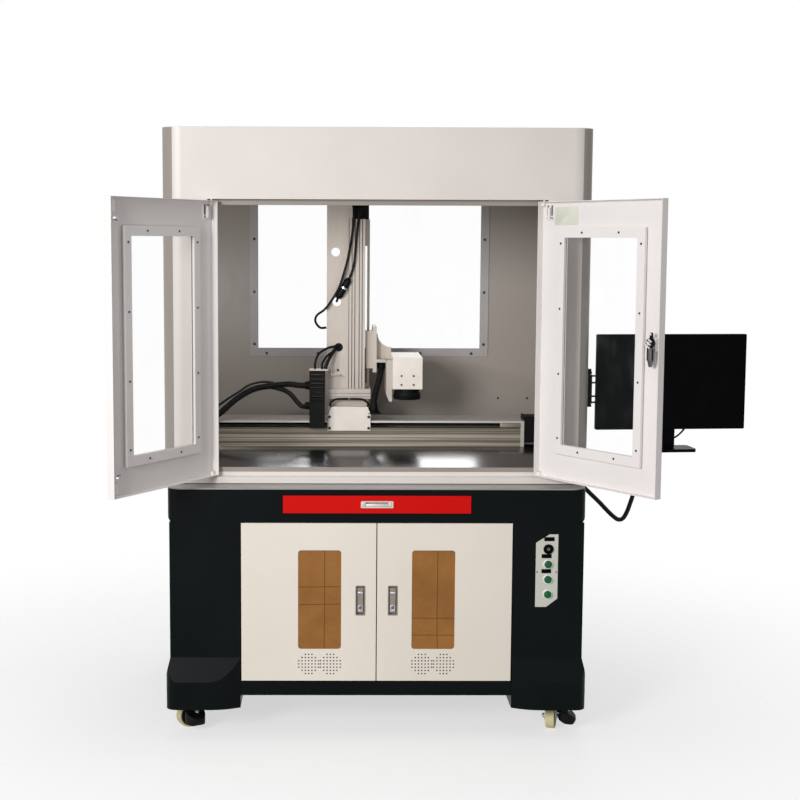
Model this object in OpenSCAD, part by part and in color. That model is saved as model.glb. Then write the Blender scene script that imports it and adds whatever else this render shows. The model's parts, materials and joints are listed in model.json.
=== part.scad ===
// Fibre laser marking machine: a marking enclosure with two swing doors on a castor cabinet.
// Millimetres. X to the right, Y towards the back, Z up. The origin is on the floor,
// under the middle of the cabinet. Both hood doors stand open, as modelled.

/* [Cabinet] */
// Width over the two pedestals
base_w = 1250; // [1150:10:1400]
// Depth of the cabinet from front to back
base_d = 980; // [900:10:1100]
// Width of each pedestal
leg_w = 213; // [180:1:240]
// Height of the pedestals' bottom plates, where the castors bolt on
leg_z = 103; // [100:1:110]
// Height of the cabinet floor
floor_z = 170; // [150:1:200]
// Height of the underside of the top box
box_z = 662; // [620:1:700]
// Height of the top box
box_h = 100; // [90:1:120]
// How far the top box stands out past each pedestal
box_over = 6; // [2:1:12]
// Thickness of folded sheet metal
sheet = 2; // [1.5:0.5:2.5]
// Thickness of the deck plate
deck_t = 4; // [3:1:8]

/* [Feet] */
// Height of the lower edge of the foot skirts
skirt_z = 90; // [82:1:98]
// Height at which the flare leaves the pedestal
flare_top = 246; // [220:1:270]
// Height of the front edge of the flare
flare_low = 176; // [150:1:200]
// How far the front of the skirt stands out
flare_out = 27; // [15:1:40]
// How far the skirt stands out at the side
flare_side = 12; // [5:1:20]
// Length of each foot skirt from front to back
foot_len = 240; // [200:5:300]

/* [Cabinet doors] */
// Gap round each cabinet door
cab_gap = 3; // [3:0.5:5]
// Depth of the folded cabinet doors
cab_door_t = 20; // [16:1:30]
// Width of each cabinet window
cab_win_w = 130; // [100:2:180]
// Height of each cabinet window
cab_win_h = 304; // [200:2:340]
// Height of the middle of the windows
cab_win_z = 425; // [400:1:440]
// Distance of the windows from the cabinet's middle
cab_win_x = 172; // [150:1:200]
// Pitch of the vent holes
vent_pitch = 10; // [8:0.5:12]
// Diameter of each vent hole
vent_d = 4.5; // [3:0.5:6]

/* [Drawer] */
// Width of the drawer opening
drawer_w = 569; // [450:1:700]
// Height of the drawer opening
drawer_h = 57; // [45:1:65]
// Depth of the drawer
drawer_d = 420; // [300:5:600]
// Gap round the drawer front
drawer_gap = 1.5; // [1:0.5:3]

/* [Hood] */
// Width of the hood
hood_w = 1300; // [1270:10:1450]
// Depth of the hood
hood_d = 900; // [850:10:940]
// Height of the hood from its bottom edge to its roof
hood_h = 1074; // [1000:2:1200]
// Radius of the hood's upright front corners
hood_r = 60; // [30:1:90]
// Width of the doorway in the hood's front
doorway_w = 1022; // [900:2:1040]
// Height of the doorway above the hood's bottom edge
doorway_low = 20; // [15:1:60]
// Height of the doorway
doorway_h = 840; // [700:2:900]
// Height of the stop lip that shows under the header
lip_top = 17; // [10:1:25]
// Height of the stop lip that shows above the sill
lip_low = 26; // [15:1:40]
// Width of the rear window opening
rear_win_w = 800; // [600:10:900]
// Height of the rear window opening
rear_win_h = 594; // [400:2:640]
// Height of the rear window's lower edge above the hood's bottom edge
rear_win_low = 352; // [300:2:400]
// Width of the rear window's bolted frame
rear_frame_w = 30; // [20:1:40]

/* [Hood doors] */
// Depth of the folded hood doors
door_t = 22; // [18:1:30]
// Gap between a hood door and the doorway
door_gap = 4; // [4:0.5:6]
// Width of each hood window
win_w = 298; // [200:2:320]
// Height of each hood window
win_h = 616; // [400:2:660]
// Width of the screwed frame round each hood window
frame_w = 29; // [25:1:45]
// How far the windows lie from the doors' middles, towards the free edge
win_shift = 5; // [0:1:30]
// Angle at which the left hood door stands open
left_open = 120.5; // [100:0.5:125]
// Angle at which the right hood door stands open
right_open = 123.5; // [100:0.5:128]

/* [Worktable] */
// Height of the worktable's top above the deck
table_h = 34; // [28:1:60]
// Width of the worktable
table_w = 1200; // [1000:10:1240]

/* [X axis] */
// Distance of the X module behind the hood's front
module_y = 600; // [560:5:640]
// Depth of the X module
module_d = 171; // [150:1:190]
// Height of the X module's grooved body
module_h = 65; // [55:1:80]
// Length of the X module's body
module_l = 1057; // [900:1:1100]
// Height of the slot between the body and its cover
slot_h = 17; // [14:1:22]
// Length of the X carriage
carriage_l = 148; // [120:1:180]
// Where the middle of the carriage stands
carriage_x = -75.5; // [-150:0.5:100]
// Width of the X motor's square body
x_motor_w = 92; // [60:1:100]

/* [Z axis and marking head] */
// Height of the Z profile above its base
z_profile_h = 581; // [500:1:640]
// Width of the Z motor's square body
z_motor_w = 57; // [42:1:60]
// Width of the scan head
head_w = 100; // [90:1:120]
// Height of the scan head
head_h = 107; // [95:1:120]
// Length of the scan head
head_l = 250; // [200:5:300]
// Diameter of the scan lens
lens_d = 93; // [80:1:98]
// Number of links in the cable chain
chain_links = 7; // [5:1:9]

/* [Monitor] */
// Width of the monitor
monitor_w = 490; // [420:2:560]
// Height of the monitor
monitor_h = 306; // [260:2:340]
// Length of the monitor arm between its pins
arm_l = 252; // [240:2:320]
// Angle of the arm behind straight sideways
arm_angle = 7; // [5:1:15]
// Angle by which the monitor's right side stands back
monitor_yaw = 5; // [3:1:8]

/* [Castors] */
// Diameter of the castor wheels
wheel_d = 75; // [70:1:80]
// Width of the castor wheels
wheel_w = 28; // [20:1:30]
// Trail of the swivel castors
trail = 28; // [20:1:32]
// Heading of the front left castor
left_heading = 30; // [0:5:360]
// Heading of the front right castor
right_heading = 75; // [0:5:360]

/* [Fits] */
// Radius of the door hinge pins
pin_r = 3; // [2.5:0.5:4]
// Radial clearance of a pin in its bore
run = 0.05; // [0.02:0.01:0.1]
// Clearance between sliding or parted faces
slack = 0.3; // [0.2:0.1:0.5]

/* [Hidden] */
$fn = 64;

// Heights
box_top = box_z + box_h;
deck_z = box_top + deck_t;
seat_h = 2;
hood_z = deck_z + seat_h;
roof_z = hood_z + hood_h;
table_z = deck_z + table_h;

// Depths
front_y = -base_d / 2;
back_y = base_d / 2;
hood_y = back_y - hood_d;
bay_x = base_w / 2 - leg_w;

// Doorway of the hood
way_x = doorway_w / 2;
way_low = hood_z + doorway_low;
way_top = way_low + doorway_h;
rebate_d = door_t + 3;
lip_side = 6;

// Hood doors: the pin lies pin_side in from the edge and pin_front behind the face
pin_side = 8;
pin_front = 5;
middle_gap = 1.5;
door_w = way_x - door_gap - middle_gap;
door_low = way_low + door_gap;
door_high = way_top - door_gap - 1;
hinge_x = way_x - door_gap - pin_side;
hinge_y = hood_y + pin_front;
win_low = door_low + 108;
win_u = door_w / 2 + win_shift;
pane_t = 4;
frame_t = 8;

// Cabinet doors
cab_pin = 6;
cab_pin_y = front_y + pin_front;
cab_door_w = bay_x - cab_gap * 1.5;
cab_low = floor_z + 4;
cab_high = box_z - 2;
cab_hinge_x = bay_x - cab_gap - cab_pin;
lock_x = 49;
lock_z = 423;
lock_w = 26;
lock_h = 88;
lever_pin_r = 2.5;
lever_pin_z = lock_z + lock_h / 2 - 9;
lever_w = 17;
lever_pin_y = front_y + 6;
vent_z = cab_win_z - cab_win_h / 2 - 47;
vent_x = 33;

// Drawer
drawer_z = box_z + 55;
rail_z = drawer_z - 2;

// Controls on the right pedestal
control_x = base_w / 2 - 108;
control_zs = [583, 536.5, 490, 444];
switch_r = 11;
bezel_r = 14;
plate_t = 2;
plate_y = front_y - plate_t;

// X axis
mod_y0 = hood_y + module_y;
mod_y1 = mod_y0 + module_d;
mod_mid = (mod_y0 + mod_y1) / 2;
mod_x0 = -540;
mod_x1 = mod_x0 + module_l;
body_top = table_z + module_h;
cover_z = body_top + slot_h;
cover_t = 7;
end_t = 12;
car_x0 = carriage_x - carriage_l / 2;
car_x1 = carriage_x + carriage_l / 2;
skirt_y = mod_y0 - 7;
car_top = cover_z + cover_t + 49;

// Z axis and head
base_top = car_top + 60;
panel_x0 = car_x0 - 3.5;
prof_x0 = carriage_x - 0.5;
prof_x1 = prof_x0 + 54;
prof_y0 = mod_y0 + 15;
prof_y1 = prof_y0 + 120;
prof_top = base_top + z_profile_h;
rail_t = 8;
rail_x0 = prof_x1 + 9;
rail_mid = (prof_y0 + prof_y1) / 2;
block_z0 = base_top + 69;
block_z1 = block_z0 + 129;
bplate_x0 = prof_x1 + 28;
bplate_x1 = bplate_x0 + 13;
head_x0 = bplate_x1 + 51;
head_x1 = head_x0 + head_w;
head_y0 = hood_y + 500;
head_z0 = base_top + 10;
head_z1 = head_z0 + head_h;
lens_x = (head_x0 + head_x1) / 2 + 1;
lens_y = head_y0 + 55;
lens_h = 38;

// Cable chain in front of the carriage
chain_x0 = car_x0 - 62;
chain_x1 = chain_x0 + 53;
chain_y1 = skirt_y;
chain_y0 = chain_y1 - 35;
trunk_z = body_top + 3;
trunk_h = 92;
link_h = 15;
chain_top = trunk_z + trunk_h + chain_links * link_h;

// Monitor arm: the wall pin, then the monitor pin
arm_x = hood_w / 2 + 45;
arm_y = hood_y + 300;
arm_z = [1073, 1051, 1007, 987];
arm_pin_r = 5;
mon_pin_x = arm_x + arm_l * cos(arm_angle);
mon_pin_y = arm_y + arm_l * sin(arm_angle);
mon_z = 1059;
mon_t = 42;
mon_front = -82;

// Castors
castor_x = base_w / 2 - 70;
castor_y = base_d / 2 - 112;
kingpin_r = 6;
axle_r = 4;
fork_gap = wheel_w / 2 + 1.5;
fork_t = 3;
axle_z = wheel_d / 2;
crown_z = leg_z - 19;
pedal_y = fork_gap + fork_t + 6;
pedal_z = 54;

// Routes of the cords, each a list of points that the sweep joins
hose_d = 22;
thin_d = 8;
conduit_d = 21;
screen_cable_d = 14;
gland_y = -200;
gland_z = 735;
hose_a = [
  [-560, 170, 800], [-560, 170, 850], [-545, 170, 892], [-508, 170, 925], [-460, 170, 966],
  [-405, 170, 998], [-345, 170, 1011], [-285, 170, 1017], [-245, 170, 1013], [-212, 170, 1013]
];
hose_b = [[-320, 170, 1000], [-280, 170, 986], [-240, 170, 943], [-212, 170, 943]];
hose_c = [
  [-590, 185, 800], [-590, 185, 850], [-560, 185, 912], [-505, 185, 955], [-450, 185, 991],
  [-418, 185, 1012], [-375, 183, 1023], [-335, 178, 1022]
];
z_lead = [
  [-60, 236, 1622], [-60, 217, 1622], [-61, 200, 1600], [-64, 198, 1550], [-78, 199, 1462],
  [-95, 199, 1395], [-115, 199, 1338], [-155, 199, 1277], [-186, 199, 1252], [-192, 203, 1230],
  [-176, 218, 1208], [-154, 220, 1208]
];
brake_lead = [
  [-40, 236, 1622], [-40, 217, 1622], [-43, 200, 1600], [-53, 198, 1510], [-60, 199, 1430],
  [-76, 199, 1378], [-100, 199, 1338], [-115, 204, 1310], [-119, 216, 1298]
];
chain_lead_a = [
  [-192, 168, 1070.3], [-192, 168, 1090], [-180, 178, 1120], [-150, 192, 1139], [-123, 202, 1145],
  [-113, 214, 1145], [-111, 226, 1145]
];
chain_lead_b = [
  [-168, 168, 1070.3], [-168, 168, 1088], [-150, 184, 1114], [-126, 197, 1130], [-113, 210, 1136],
  [-110, 224, 1137]
];
conduit = [
  [36, 230, 1088.5], [36, 230, 1062], [28, 222, 1025], [17, 212, 985], [10, 205, 945],
  [10, 202, 912]
];
screen_cable = [
  [631, -200, 735], [646, -200, 735], [671, -200, 723], [696, -200, 700], [722, -199, 675],
  [748, -198, 648], [768, -196, 629], [786, -193, 617], [802, -189, 621], [815, -184, 641],
  [826, -178, 668], [838, -170, 702], [848, -158, 745], [850, -150, 795], [846, -144, 845],
  [850, -141, 900], [850, -141, 935.7]
];
screen_lead = [
  [1008, -127, 935.7], [1008, -127, 908], [988, -116, 880], [962, -112, 866], [935, -112, 860],
  [895, -120, 862], [852, -142, 868]
];

// A block from its low corner to its high corner
module block(low, high) {
  translate(low) cube(high - low);
}

// A shaft from a to b, where b differs from a along one axis
module shaft(a, b, r) {
  way = b - a;
  turn = way.x != 0 ? [0, 90, 0] : way.y != 0 ? [-90, 0, 0] : [0, 0, 0];
  translate([min(a.x, b.x), min(a.y, b.y), min(a.z, b.z)]) rotate(turn) cylinder(h = norm(way), r = r);
}

// Rounded rectangle with its low corner at the origin
module rounded(w, h, r) {
  translate([r, 0]) square([w - 2 * r, h]);
  translate([0, r]) square([w, h - 2 * r]);
  for (x = [r, w - r], y = [r, h - r]) translate([x, y]) circle(r);
}

// Plan with two rounded front corners, centred on X, its front at Y = 0
module plan(w, d, r) {
  translate([-w / 2, r]) square([w, d - r]);
  translate([-w / 2 + r, 0]) square([w - 2 * r, r]);
  for (x = [-1, 1]) translate([x * (w / 2 - r), r]) circle(r);
}

// Upright rounded plate facing front, with its low corner at [x, z] and its face at y
module upright(x, y, z, w, t, h, r) {
  translate([x, y + t, z]) rotate([90, 0, 0]) linear_extrude(t) rounded(w, h, r);
}

// An XZ outline drawn from y0 back to y1
module along_y(y0, y1) {
  translate([0, y1, 0]) rotate([90, 0, 0]) linear_extrude(y1 - y0) children();
}

// Turns a child about an upright line
module about(x, y, angle) {
  translate([x, y, 0]) rotate([0, 0, angle]) translate([-x, -y, 0]) children();
}

// Swept tube of a cord: rings of sides round each point of the route
function unit(v) = v / norm(v);
function heading(p, i) = unit(p[min(i + 1, len(p) - 1)] - p[max(i - 1, 0)]);
function ring(p, i, r, sides) =
  let (t = heading(p, i), u = unit(cross(t, [0.5, 1, -0.4])), v = cross(t, u))
  [for (k = [0 : sides - 1]) p[i] + r * (u * cos(360 * k / sides) + v * sin(360 * k / sides))];

module cord(p, d, sides = 10) {
  n = len(p);
  walls = [for (i = [0 : n - 2], k = [0 : sides - 1])
    let (a = i * sides + k, b = i * sides + (k + 1) % sides) [a, b, b + sides, a + sides]];
  polyhedron(
    points = [for (i = [0 : n - 1]) each ring(p, i, d / 2, sides)],
    faces = concat([[for (k = [sides - 1 : -1 : 0]) k]], walls, [[for (k = [0 : sides - 1]) (n - 1) * sides + k]])
  );
}

// Skirt of one foot seen from above: its front sweeps out of the inner corner, at the origin, and runs straight
module foot_plan(inset) {
  w = leg_w + flare_side;
  apex = w * 0.42;
  bow_r = (apex * apex + flare_out * flare_out) / (2 * flare_out);
  intersection() {
    translate([inset, -flare_out]) square([w - 2 * inset, flare_out + foot_len - inset]);
    union() {
      translate([apex, bow_r - flare_out]) circle(bow_r - inset, $fn = 180);
      translate([apex, inset - flare_out]) square([w, flare_out + foot_len]);
    }
    translate([inset - 100, inset - flare_out]) rounded(w + 100 - 2 * inset, 600, 32);
  }
}

// One foot at the front of the right pedestal
module foot() {
  x0 = base_w / 2 - leg_w;
  x1 = base_w / 2 + flare_side;
  intersection() {
    difference() {
      translate([x0, front_y, skirt_z]) linear_extrude(flare_top - skirt_z) foot_plan(0);
      translate([x0, front_y, skirt_z - 1]) linear_extrude(leg_z - skirt_z + 1) foot_plan(sheet);
    }
    translate([x0 - 1, 0, 0]) rotate([90, 0, 90]) linear_extrude(x1 - x0 + 2)
      polygon([
        [front_y - flare_out, 0], [front_y - flare_out, flare_low], [front_y, flare_top],
        [front_y + foot_len, flare_top], [front_y + foot_len, 0]
      ]);
    along_y(front_y - flare_out, front_y + foot_len)
      polygon([
        [x0, 0], [x1, 0], [x1, flare_low + 18], [base_w / 2, flare_top], [x0, flare_top]
      ]);
  }
}

// Right pedestal: a closed sheet box with a flared foot at each end
module pedestal() {
  x0 = base_w / 2 - leg_w;
  x1 = base_w / 2;
  difference() {
    union() {
      difference() {
        block([x0, front_y, leg_z], [x1, back_y, box_z]);
        block([x0 + sheet, front_y + sheet, leg_z + sheet], [x1 - sheet, back_y - sheet, box_z - sheet]);
      }
      difference() {
        for (end = [0, 1]) mirror([0, end, 0]) foot();
        block([x0 + sheet, front_y + sheet, leg_z + sheet], [x1 - sheet, back_y - sheet, box_z - sheet]);
      }
    }
    children();
  }
}

module left_pedestal() color([0.07, 0.08, 0.08]) mirror([1, 0, 0]) pedestal();

module right_pedestal() color([0.07, 0.08, 0.08]) pedestal() {
  for (z = control_zs)
    shaft([control_x, front_y - 1, z], [control_x, front_y + sheet + 1, z], switch_r + 0.4);
}

// Top box: holds the drawer under the deck
module top_box() color([0.07, 0.08, 0.08]) {
  w = base_w + 2 * box_over;
  bay = drawer_w / 2 + 2;
  difference() {
    intersection() {
      translate([0, front_y, box_z]) linear_extrude(box_h) plan(w, base_d, 30);
      along_y(front_y, back_y) translate([-w / 2, box_z]) rounded(w, box_h * 2, 18);
    }
    translate([0, front_y + sheet, box_z + sheet]) linear_extrude(box_h) plan(w - 2 * sheet, base_d - 2 * sheet, 28);
    block([-drawer_w / 2, front_y - 1, drawer_z - drawer_h / 2], [drawer_w / 2, front_y + sheet + 1, drawer_z + drawer_h / 2]);
  }
  for (side = [0, 1]) mirror([side, 0, 0]) {
    block([bay, front_y + sheet, box_z + sheet], [bay + sheet, front_y + drawer_d + 20, box_top]);
    block([drawer_w / 2 - 13, front_y + 12, rail_z - 12], [bay, front_y + drawer_d, rail_z]);
    translate([cab_hinge_x, cab_pin_y, cab_high - 10]) cylinder(h = box_z - cab_high + 10, r = pin_r);
  }
  difference() {
    shaft([w / 2, gland_y, gland_z], [w / 2 + 10, gland_y, gland_z], 13);
    shaft([w / 2, gland_y, gland_z], [w / 2 + 11, gland_y, gland_z], screen_cable_d / 2 + slack);
  }
}

// Cabinet shell: plinth, floor and louvred rear wall, folded and welded as one
module cabinet_shell() color([0.08, 0.09, 0.09]) {
  plinth_low = floor_z - 42;
  slots = 8;
  block([-bay_x, front_y + sheet, floor_z - sheet], [bay_x, back_y - sheet, floor_z]);
  block([-bay_x, front_y + sheet, plinth_low], [bay_x, front_y + 2 * sheet, floor_z - sheet]);
  difference() {
    block([-bay_x, back_y - 2 * sheet, plinth_low], [bay_x, back_y - sheet, box_z]);
    for (side = [-1, 1], k = [0 : slots - 1])
      upright(side * 200 - 60, back_y - 3 * sheet, 470 + k * 18, 120, 3 * sheet, 8, 3.9);
  }
  for (side = [-1, 1])
    translate([side * cab_hinge_x, cab_pin_y, floor_z]) cylinder(h = 12, r = pin_r);
}

// Deck plate with the low seat that the hood stands on
module deck_plate() color([0.87, 0.84, 0.8]) {
  w = base_w + 2 * box_over;
  seat_w = w - 24;
  translate([0, front_y, box_top]) linear_extrude(deck_t) plan(w, base_d, 45);
  difference() {
    translate([0, hood_y + 8, deck_z]) linear_extrude(seat_h) plan(seat_w, hood_d - 16, hood_r - 12);
    translate([0, hood_y + 38, deck_z - 1]) linear_extrude(seat_h + 2) plan(seat_w - 60, hood_d - 76, hood_r - 40);
  }
}

// Worktable: a ground steel plate on box rails
module worktable() color([0.3, 0.31, 0.32]) {
  y0 = hood_y + 36;
  y1 = mod_y1 + 75;
  plate = 10;
  rail = 40;
  block([-table_w / 2, y0, table_z - plate], [table_w / 2, y1, table_z]);
  for (y = [y0 + 15, y1 - 15 - rail])
    block([-table_w / 2 + 15, y, deck_z], [table_w / 2 - 15, y + rail, table_z - plate]);
  for (x = [-table_w / 2 + 15, -rail / 2, table_w / 2 - 15 - rail])
    block([x, y0 + 15, deck_z], [x + rail, y1 - 15, table_z - plate]);
}

// Hood shell: front, sides and roof, with the rebated doorway and its hinge pins
module hood_shell() color([0.87, 0.84, 0.81]) {
  inner_w = hood_w - 2 * sheet;
  pin_l = door_gap + 15;
  difference() {
    translate([0, hood_y, hood_z]) linear_extrude(hood_h) plan(hood_w, hood_d, hood_r);
    translate([0, hood_y + sheet, hood_z + sheet]) linear_extrude(hood_h - 2 * sheet)
      plan(inner_w, hood_d, hood_r - sheet);
    translate([0, hood_y + 40, hood_z - 1]) linear_extrude(sheet + 2) plan(hood_w - 80, hood_d - 40 + 1, hood_r - 40);
    block([-way_x, hood_y - 1, way_low], [way_x, hood_y + sheet + 1, way_top]);
  }
  // The rebate round the doorway and the stop lip at its back
  difference() {
    block([-way_x - sheet, hood_y + sheet, way_low - sheet], [way_x + sheet, hood_y + rebate_d + sheet, way_top + sheet]);
    block([-way_x, hood_y, way_low], [way_x, hood_y + rebate_d, way_top]);
    block([-way_x + lip_side, hood_y, way_low + lip_low], [way_x - lip_side, hood_y + rebate_d + sheet + 1, way_top - lip_top]);
    translate([-bolt_x, bolt_y, way_low - sheet - 1]) cylinder(h = sheet + 2, r = bolt_r + 0.6);
    translate([-bolt_x, bolt_y, way_top - 1]) cylinder(h = sheet + 2, r = bolt_r + 0.6);
  }
  for (side = [-1, 1]) {
    translate([side * hinge_x, hinge_y, way_low]) cylinder(h = pin_l, r = pin_r);
    translate([side * hinge_x, hinge_y, way_top - pin_l - 1]) cylinder(h = pin_l + 1, r = pin_r);
  }
}

// Rear panel: a folded pan that closes the hood's back, with the window opening
module hood_rear_panel() color([0.62, 0.58, 0.54]) {
  w = hood_w - 2 * sheet - 2 * slack;
  z0 = hood_z + sheet + slack;
  z1 = roof_z - sheet - slack;
  win_z = hood_z + rear_win_low;
  difference() {
    block([-w / 2, back_y - 16, z0], [w / 2, back_y, z1]);
    block([-w / 2 + sheet, back_y - 16 + sheet, z0 + sheet], [w / 2 - sheet, back_y + 1, z1 - sheet]);
    block([-rear_win_w / 2, back_y - 17, win_z], [rear_win_w / 2, back_y, win_z + rear_win_h]);
  }
}

module rear_window_frame() color([0.6, 0.57, 0.54]) {
  z = hood_z + rear_win_low;
  out = rear_frame_w;
  difference() {
    block([-rear_win_w / 2 - out, back_y - 19, z - out], [rear_win_w / 2 + out, back_y - 16, z + rear_win_h + out]);
    block([-rear_win_w / 2, back_y - 20, z], [rear_win_w / 2, back_y - 15, z + rear_win_h]);
  }
}

// Clear rear pane, clamped behind the panel
module rear_window_pane() color([0.8, 0.85, 0.86, 0.35]) {
  z = hood_z + rear_win_low;
  edge = 20;
  block([-rear_win_w / 2 - edge, back_y - 16 + sheet, z - edge], [rear_win_w / 2 + edge, back_y - 12 + sheet, z + rear_win_h + edge]);
}

// Right hood door as it stands when shut: a folded pan with a window opening
module hood_door_pan() {
  x0 = hinge_x + pin_side - door_w;
  x1 = hinge_x + pin_side;
  win_x = hinge_x + pin_side - win_u - win_w / 2;
  y1 = hood_y + door_t;
  knuckle = 12;
  difference() {
    block([x0, hood_y, door_low], [x1, y1, door_high]);
    difference() {
      block([x0 + sheet, hood_y + sheet, door_low + sheet], [x1 - sheet, y1 + 1, door_high - sheet]);
      for (z = [door_low, door_high - knuckle])
        block([hinge_x - 6, hood_y, z], [x1, hinge_y + 6, z + knuckle]);
      block([win_x - frame_w + 4, hood_y, win_low - frame_w + 4],
        [win_x + win_w + frame_w - 4, hood_y + 6, win_low + win_h + frame_w - 4]);
    }
    block([win_x, hood_y - 1, win_low], [win_x + win_w, y1, win_low + win_h]);
    block([win_x - 12, hood_y + sheet, win_low - 12], [win_x + win_w + 12, y1, win_low + win_h + 12]);
    translate([hinge_x, hinge_y, door_low - 1]) cylinder(h = door_high - door_low + 2, r = pin_r + run);
    children();
  }
}

// Window frame of the right hood door, raised inside the pan
module hood_door_frame() {
  x = hinge_x + pin_side - win_u - win_w / 2;
  y = hood_y + 6;
  difference() {
    block([x - frame_w, y, win_low - frame_w], [x + win_w + frame_w, y + frame_t, win_low + win_h + frame_w]);
    block([x, y - 1, win_low], [x + win_w, y + frame_t + 1, win_low + win_h]);
  }
}

// Clear pane of the right hood door, clamped between the pan and the frame
module hood_door_pane() {
  x = hinge_x + pin_side - win_u - win_w / 2;
  y = hood_y + sheet;
  edge = 12 - slack;
  block([x - edge, y, win_low - edge], [x + win_w + edge, y + pane_t, win_low + win_h + edge]);
}

// Slide bolts on the left door's free edge
bolt_x = 14;
bolt_y = hood_y + 12;
bolt_r = 4;
bolt_l = 70;
bolt_block = 30;

// Barrel blocks that guide the slide bolts, drawn as on the right door and mirrored to the left
module bolt_barrels() {
  for (z = [door_low + 12, door_high - 12 - bolt_block])
    block([middle_gap + sheet, hood_y + sheet, z], [bolt_x + 8, bolt_y + 8, z + bolt_block]);
}

module left_hood_door() color([0.86, 0.83, 0.8])
  about(-hinge_x, hinge_y, -left_open) {
    difference() {
      union() {
        mirror([1, 0, 0]) hood_door_pan();
        mirror([1, 0, 0]) bolt_barrels();
      }
      translate([-bolt_x, bolt_y, door_low - 1]) cylinder(h = door_high - door_low + 2, r = bolt_r + slack);
    }
  }

module left_hood_frame() color([0.87, 0.84, 0.81])
  about(-hinge_x, hinge_y, -left_open) mirror([1, 0, 0]) hood_door_frame();

module left_hood_pane() color([0.8, 0.85, 0.86, 0.35])
  about(-hinge_x, hinge_y, -left_open) mirror([1, 0, 0]) hood_door_pane();

// One slide bolt with its thumb knob, from z upward
module slide_bolt(z, knob_z) {
  translate([-bolt_x, bolt_y, z]) cylinder(h = bolt_l, r = bolt_r);
  shaft([-bolt_x, bolt_y, knob_z], [-bolt_x, bolt_y + 20, knob_z], 3);
}

module upper_door_bolt() color([0.75, 0.75, 0.76])
  about(-hinge_x, hinge_y, -left_open) slide_bolt(door_high - bolt_l - 1, door_high - 12 - bolt_block - 18);

module lower_door_bolt() color([0.75, 0.75, 0.76])
  about(-hinge_x, hinge_y, -left_open) slide_bolt(door_low + 1, door_low + 12 + bolt_block + 18);

// The latch turns in a boss at the right door's free edge
latch_x = middle_gap + 26;
latch_z = door_low + 430;
latch_r = 8;
cam_y = hood_y + door_t + 0.6;

module right_hood_door() color([0.87, 0.84, 0.81])
  about(hinge_x, hinge_y, right_open) {
    hood_door_pan() {
      shaft([latch_x, hood_y - 1, latch_z], [latch_x, hood_y + sheet + 1, latch_z], latch_r + run);
    }
    difference() {
      upright(latch_x - 12, hood_y + sheet, latch_z - 20, 24, 17, 40, 8);
      shaft([latch_x, hood_y, latch_z], [latch_x, hood_y + door_t, latch_z], latch_r + run);
    }
  }

module right_hood_frame() color([0.87, 0.84, 0.81])
  about(hinge_x, hinge_y, right_open) hood_door_frame();

module right_hood_pane() color([0.8, 0.85, 0.86, 0.35])
  about(hinge_x, hinge_y, right_open) hood_door_pane();

// Cam latch: a grip outside, a barrel through the door and a cam arm inside
module door_latch() color([0.7, 0.7, 0.72])
  about(hinge_x, hinge_y, right_open) {
    shaft([latch_x, hood_y - 4, latch_z], [latch_x, cam_y + 3, latch_z], latch_r);
    upright(latch_x - 9, hood_y - 16, latch_z - 32, 18, 12, 64, 8);
    translate([0, 0, latch_z]) along_y(cam_y, cam_y + 3) translate([latch_x, 0])
      polygon([[-8, 9], [8, 9], [11, -6], [9, -42], [4, -58], [-4, -58], [-10, -42], [-11, -6]]);
  }

// Octagonal cluster of vent holes, centred on the origin
module vent_cluster() {
  rows = [1, 2, 3, 3, 3, 2, 1];
  for (r = [0 : 6], c = [-rows[r] : rows[r]])
    translate([c * vent_pitch, (r - 3) * vent_pitch]) circle(d = vent_d, $fn = 24);
}

// Right cabinet door: folded pan with its window, vents and flush lock dish
module cabinet_door() {
  x0 = cab_gap / 2;
  x1 = x0 + cab_door_w;
  y1 = front_y + cab_door_t;
  win_z0 = cab_win_z - cab_win_h / 2;
  knuckle = 12;
  difference() {
    union() {
      difference() {
        block([x0, front_y, cab_low], [x1, y1, cab_high]);
        block([x0 + sheet, front_y + sheet, cab_low + sheet], [x1 - sheet, y1 + 1, cab_high - sheet]);
      }
      for (z = [cab_low, cab_high - knuckle])
        block([cab_hinge_x - 6, front_y, z], [x1, cab_pin_y + 6, z + knuckle]);
      block([lock_x - lock_w / 2 - 2, front_y, lock_z - lock_h / 2 - 2], [lock_x + lock_w / 2 + 2, front_y + 15, lock_z + lock_h / 2 + 2]);
    }
    upright(cab_win_x - cab_win_w / 2, front_y - 1, win_z0, cab_win_w, sheet + 2, cab_win_h, 9);
    for (side = [-1, 1]) along_y(front_y - 1, front_y + sheet + 1)
      translate([cab_win_x + side * vent_x, vent_z]) vent_cluster();
    upright(lock_x - lock_w / 2, front_y - 1, lock_z - lock_h / 2, lock_w, 14, lock_h, 3);
    shaft([lock_x - lock_w / 2 - 1.5, lever_pin_y, lever_pin_z], [lock_x + lock_w / 2 + 1.5, lever_pin_y, lever_pin_z], lever_pin_r + run);
    translate([cab_hinge_x, cab_pin_y, cab_low - 1]) cylinder(h = cab_high - cab_low + 2, r = pin_r + run);
  }
}

// Masked acrylic pane behind the right cabinet door's window
module cabinet_pane() {
  edge = 15;
  block([cab_win_x - cab_win_w / 2 - edge, front_y + sheet, cab_win_z - cab_win_h / 2 - edge],
    [cab_win_x + cab_win_w / 2 + edge, front_y + sheet + 4, cab_win_z + cab_win_h / 2 + edge]);
}

// Flush lever of the right cabinet door, hinged at its upper end
module door_lever() {
  difference() {
    union() {
      upright(lock_x - lever_w / 2, front_y + 3, lock_z - lock_h / 2 + 8, lever_w, 6, lock_h - 13, 2.5);
      shaft([lock_x - lock_w / 2 - 1.2, lever_pin_y, lever_pin_z], [lock_x + lock_w / 2 + 1.2, lever_pin_y, lever_pin_z], lever_pin_r);
    }
    shaft([lock_x, front_y, lock_z - 22], [lock_x, front_y + 5, lock_z - 22], 6.5);
  }
}

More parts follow.
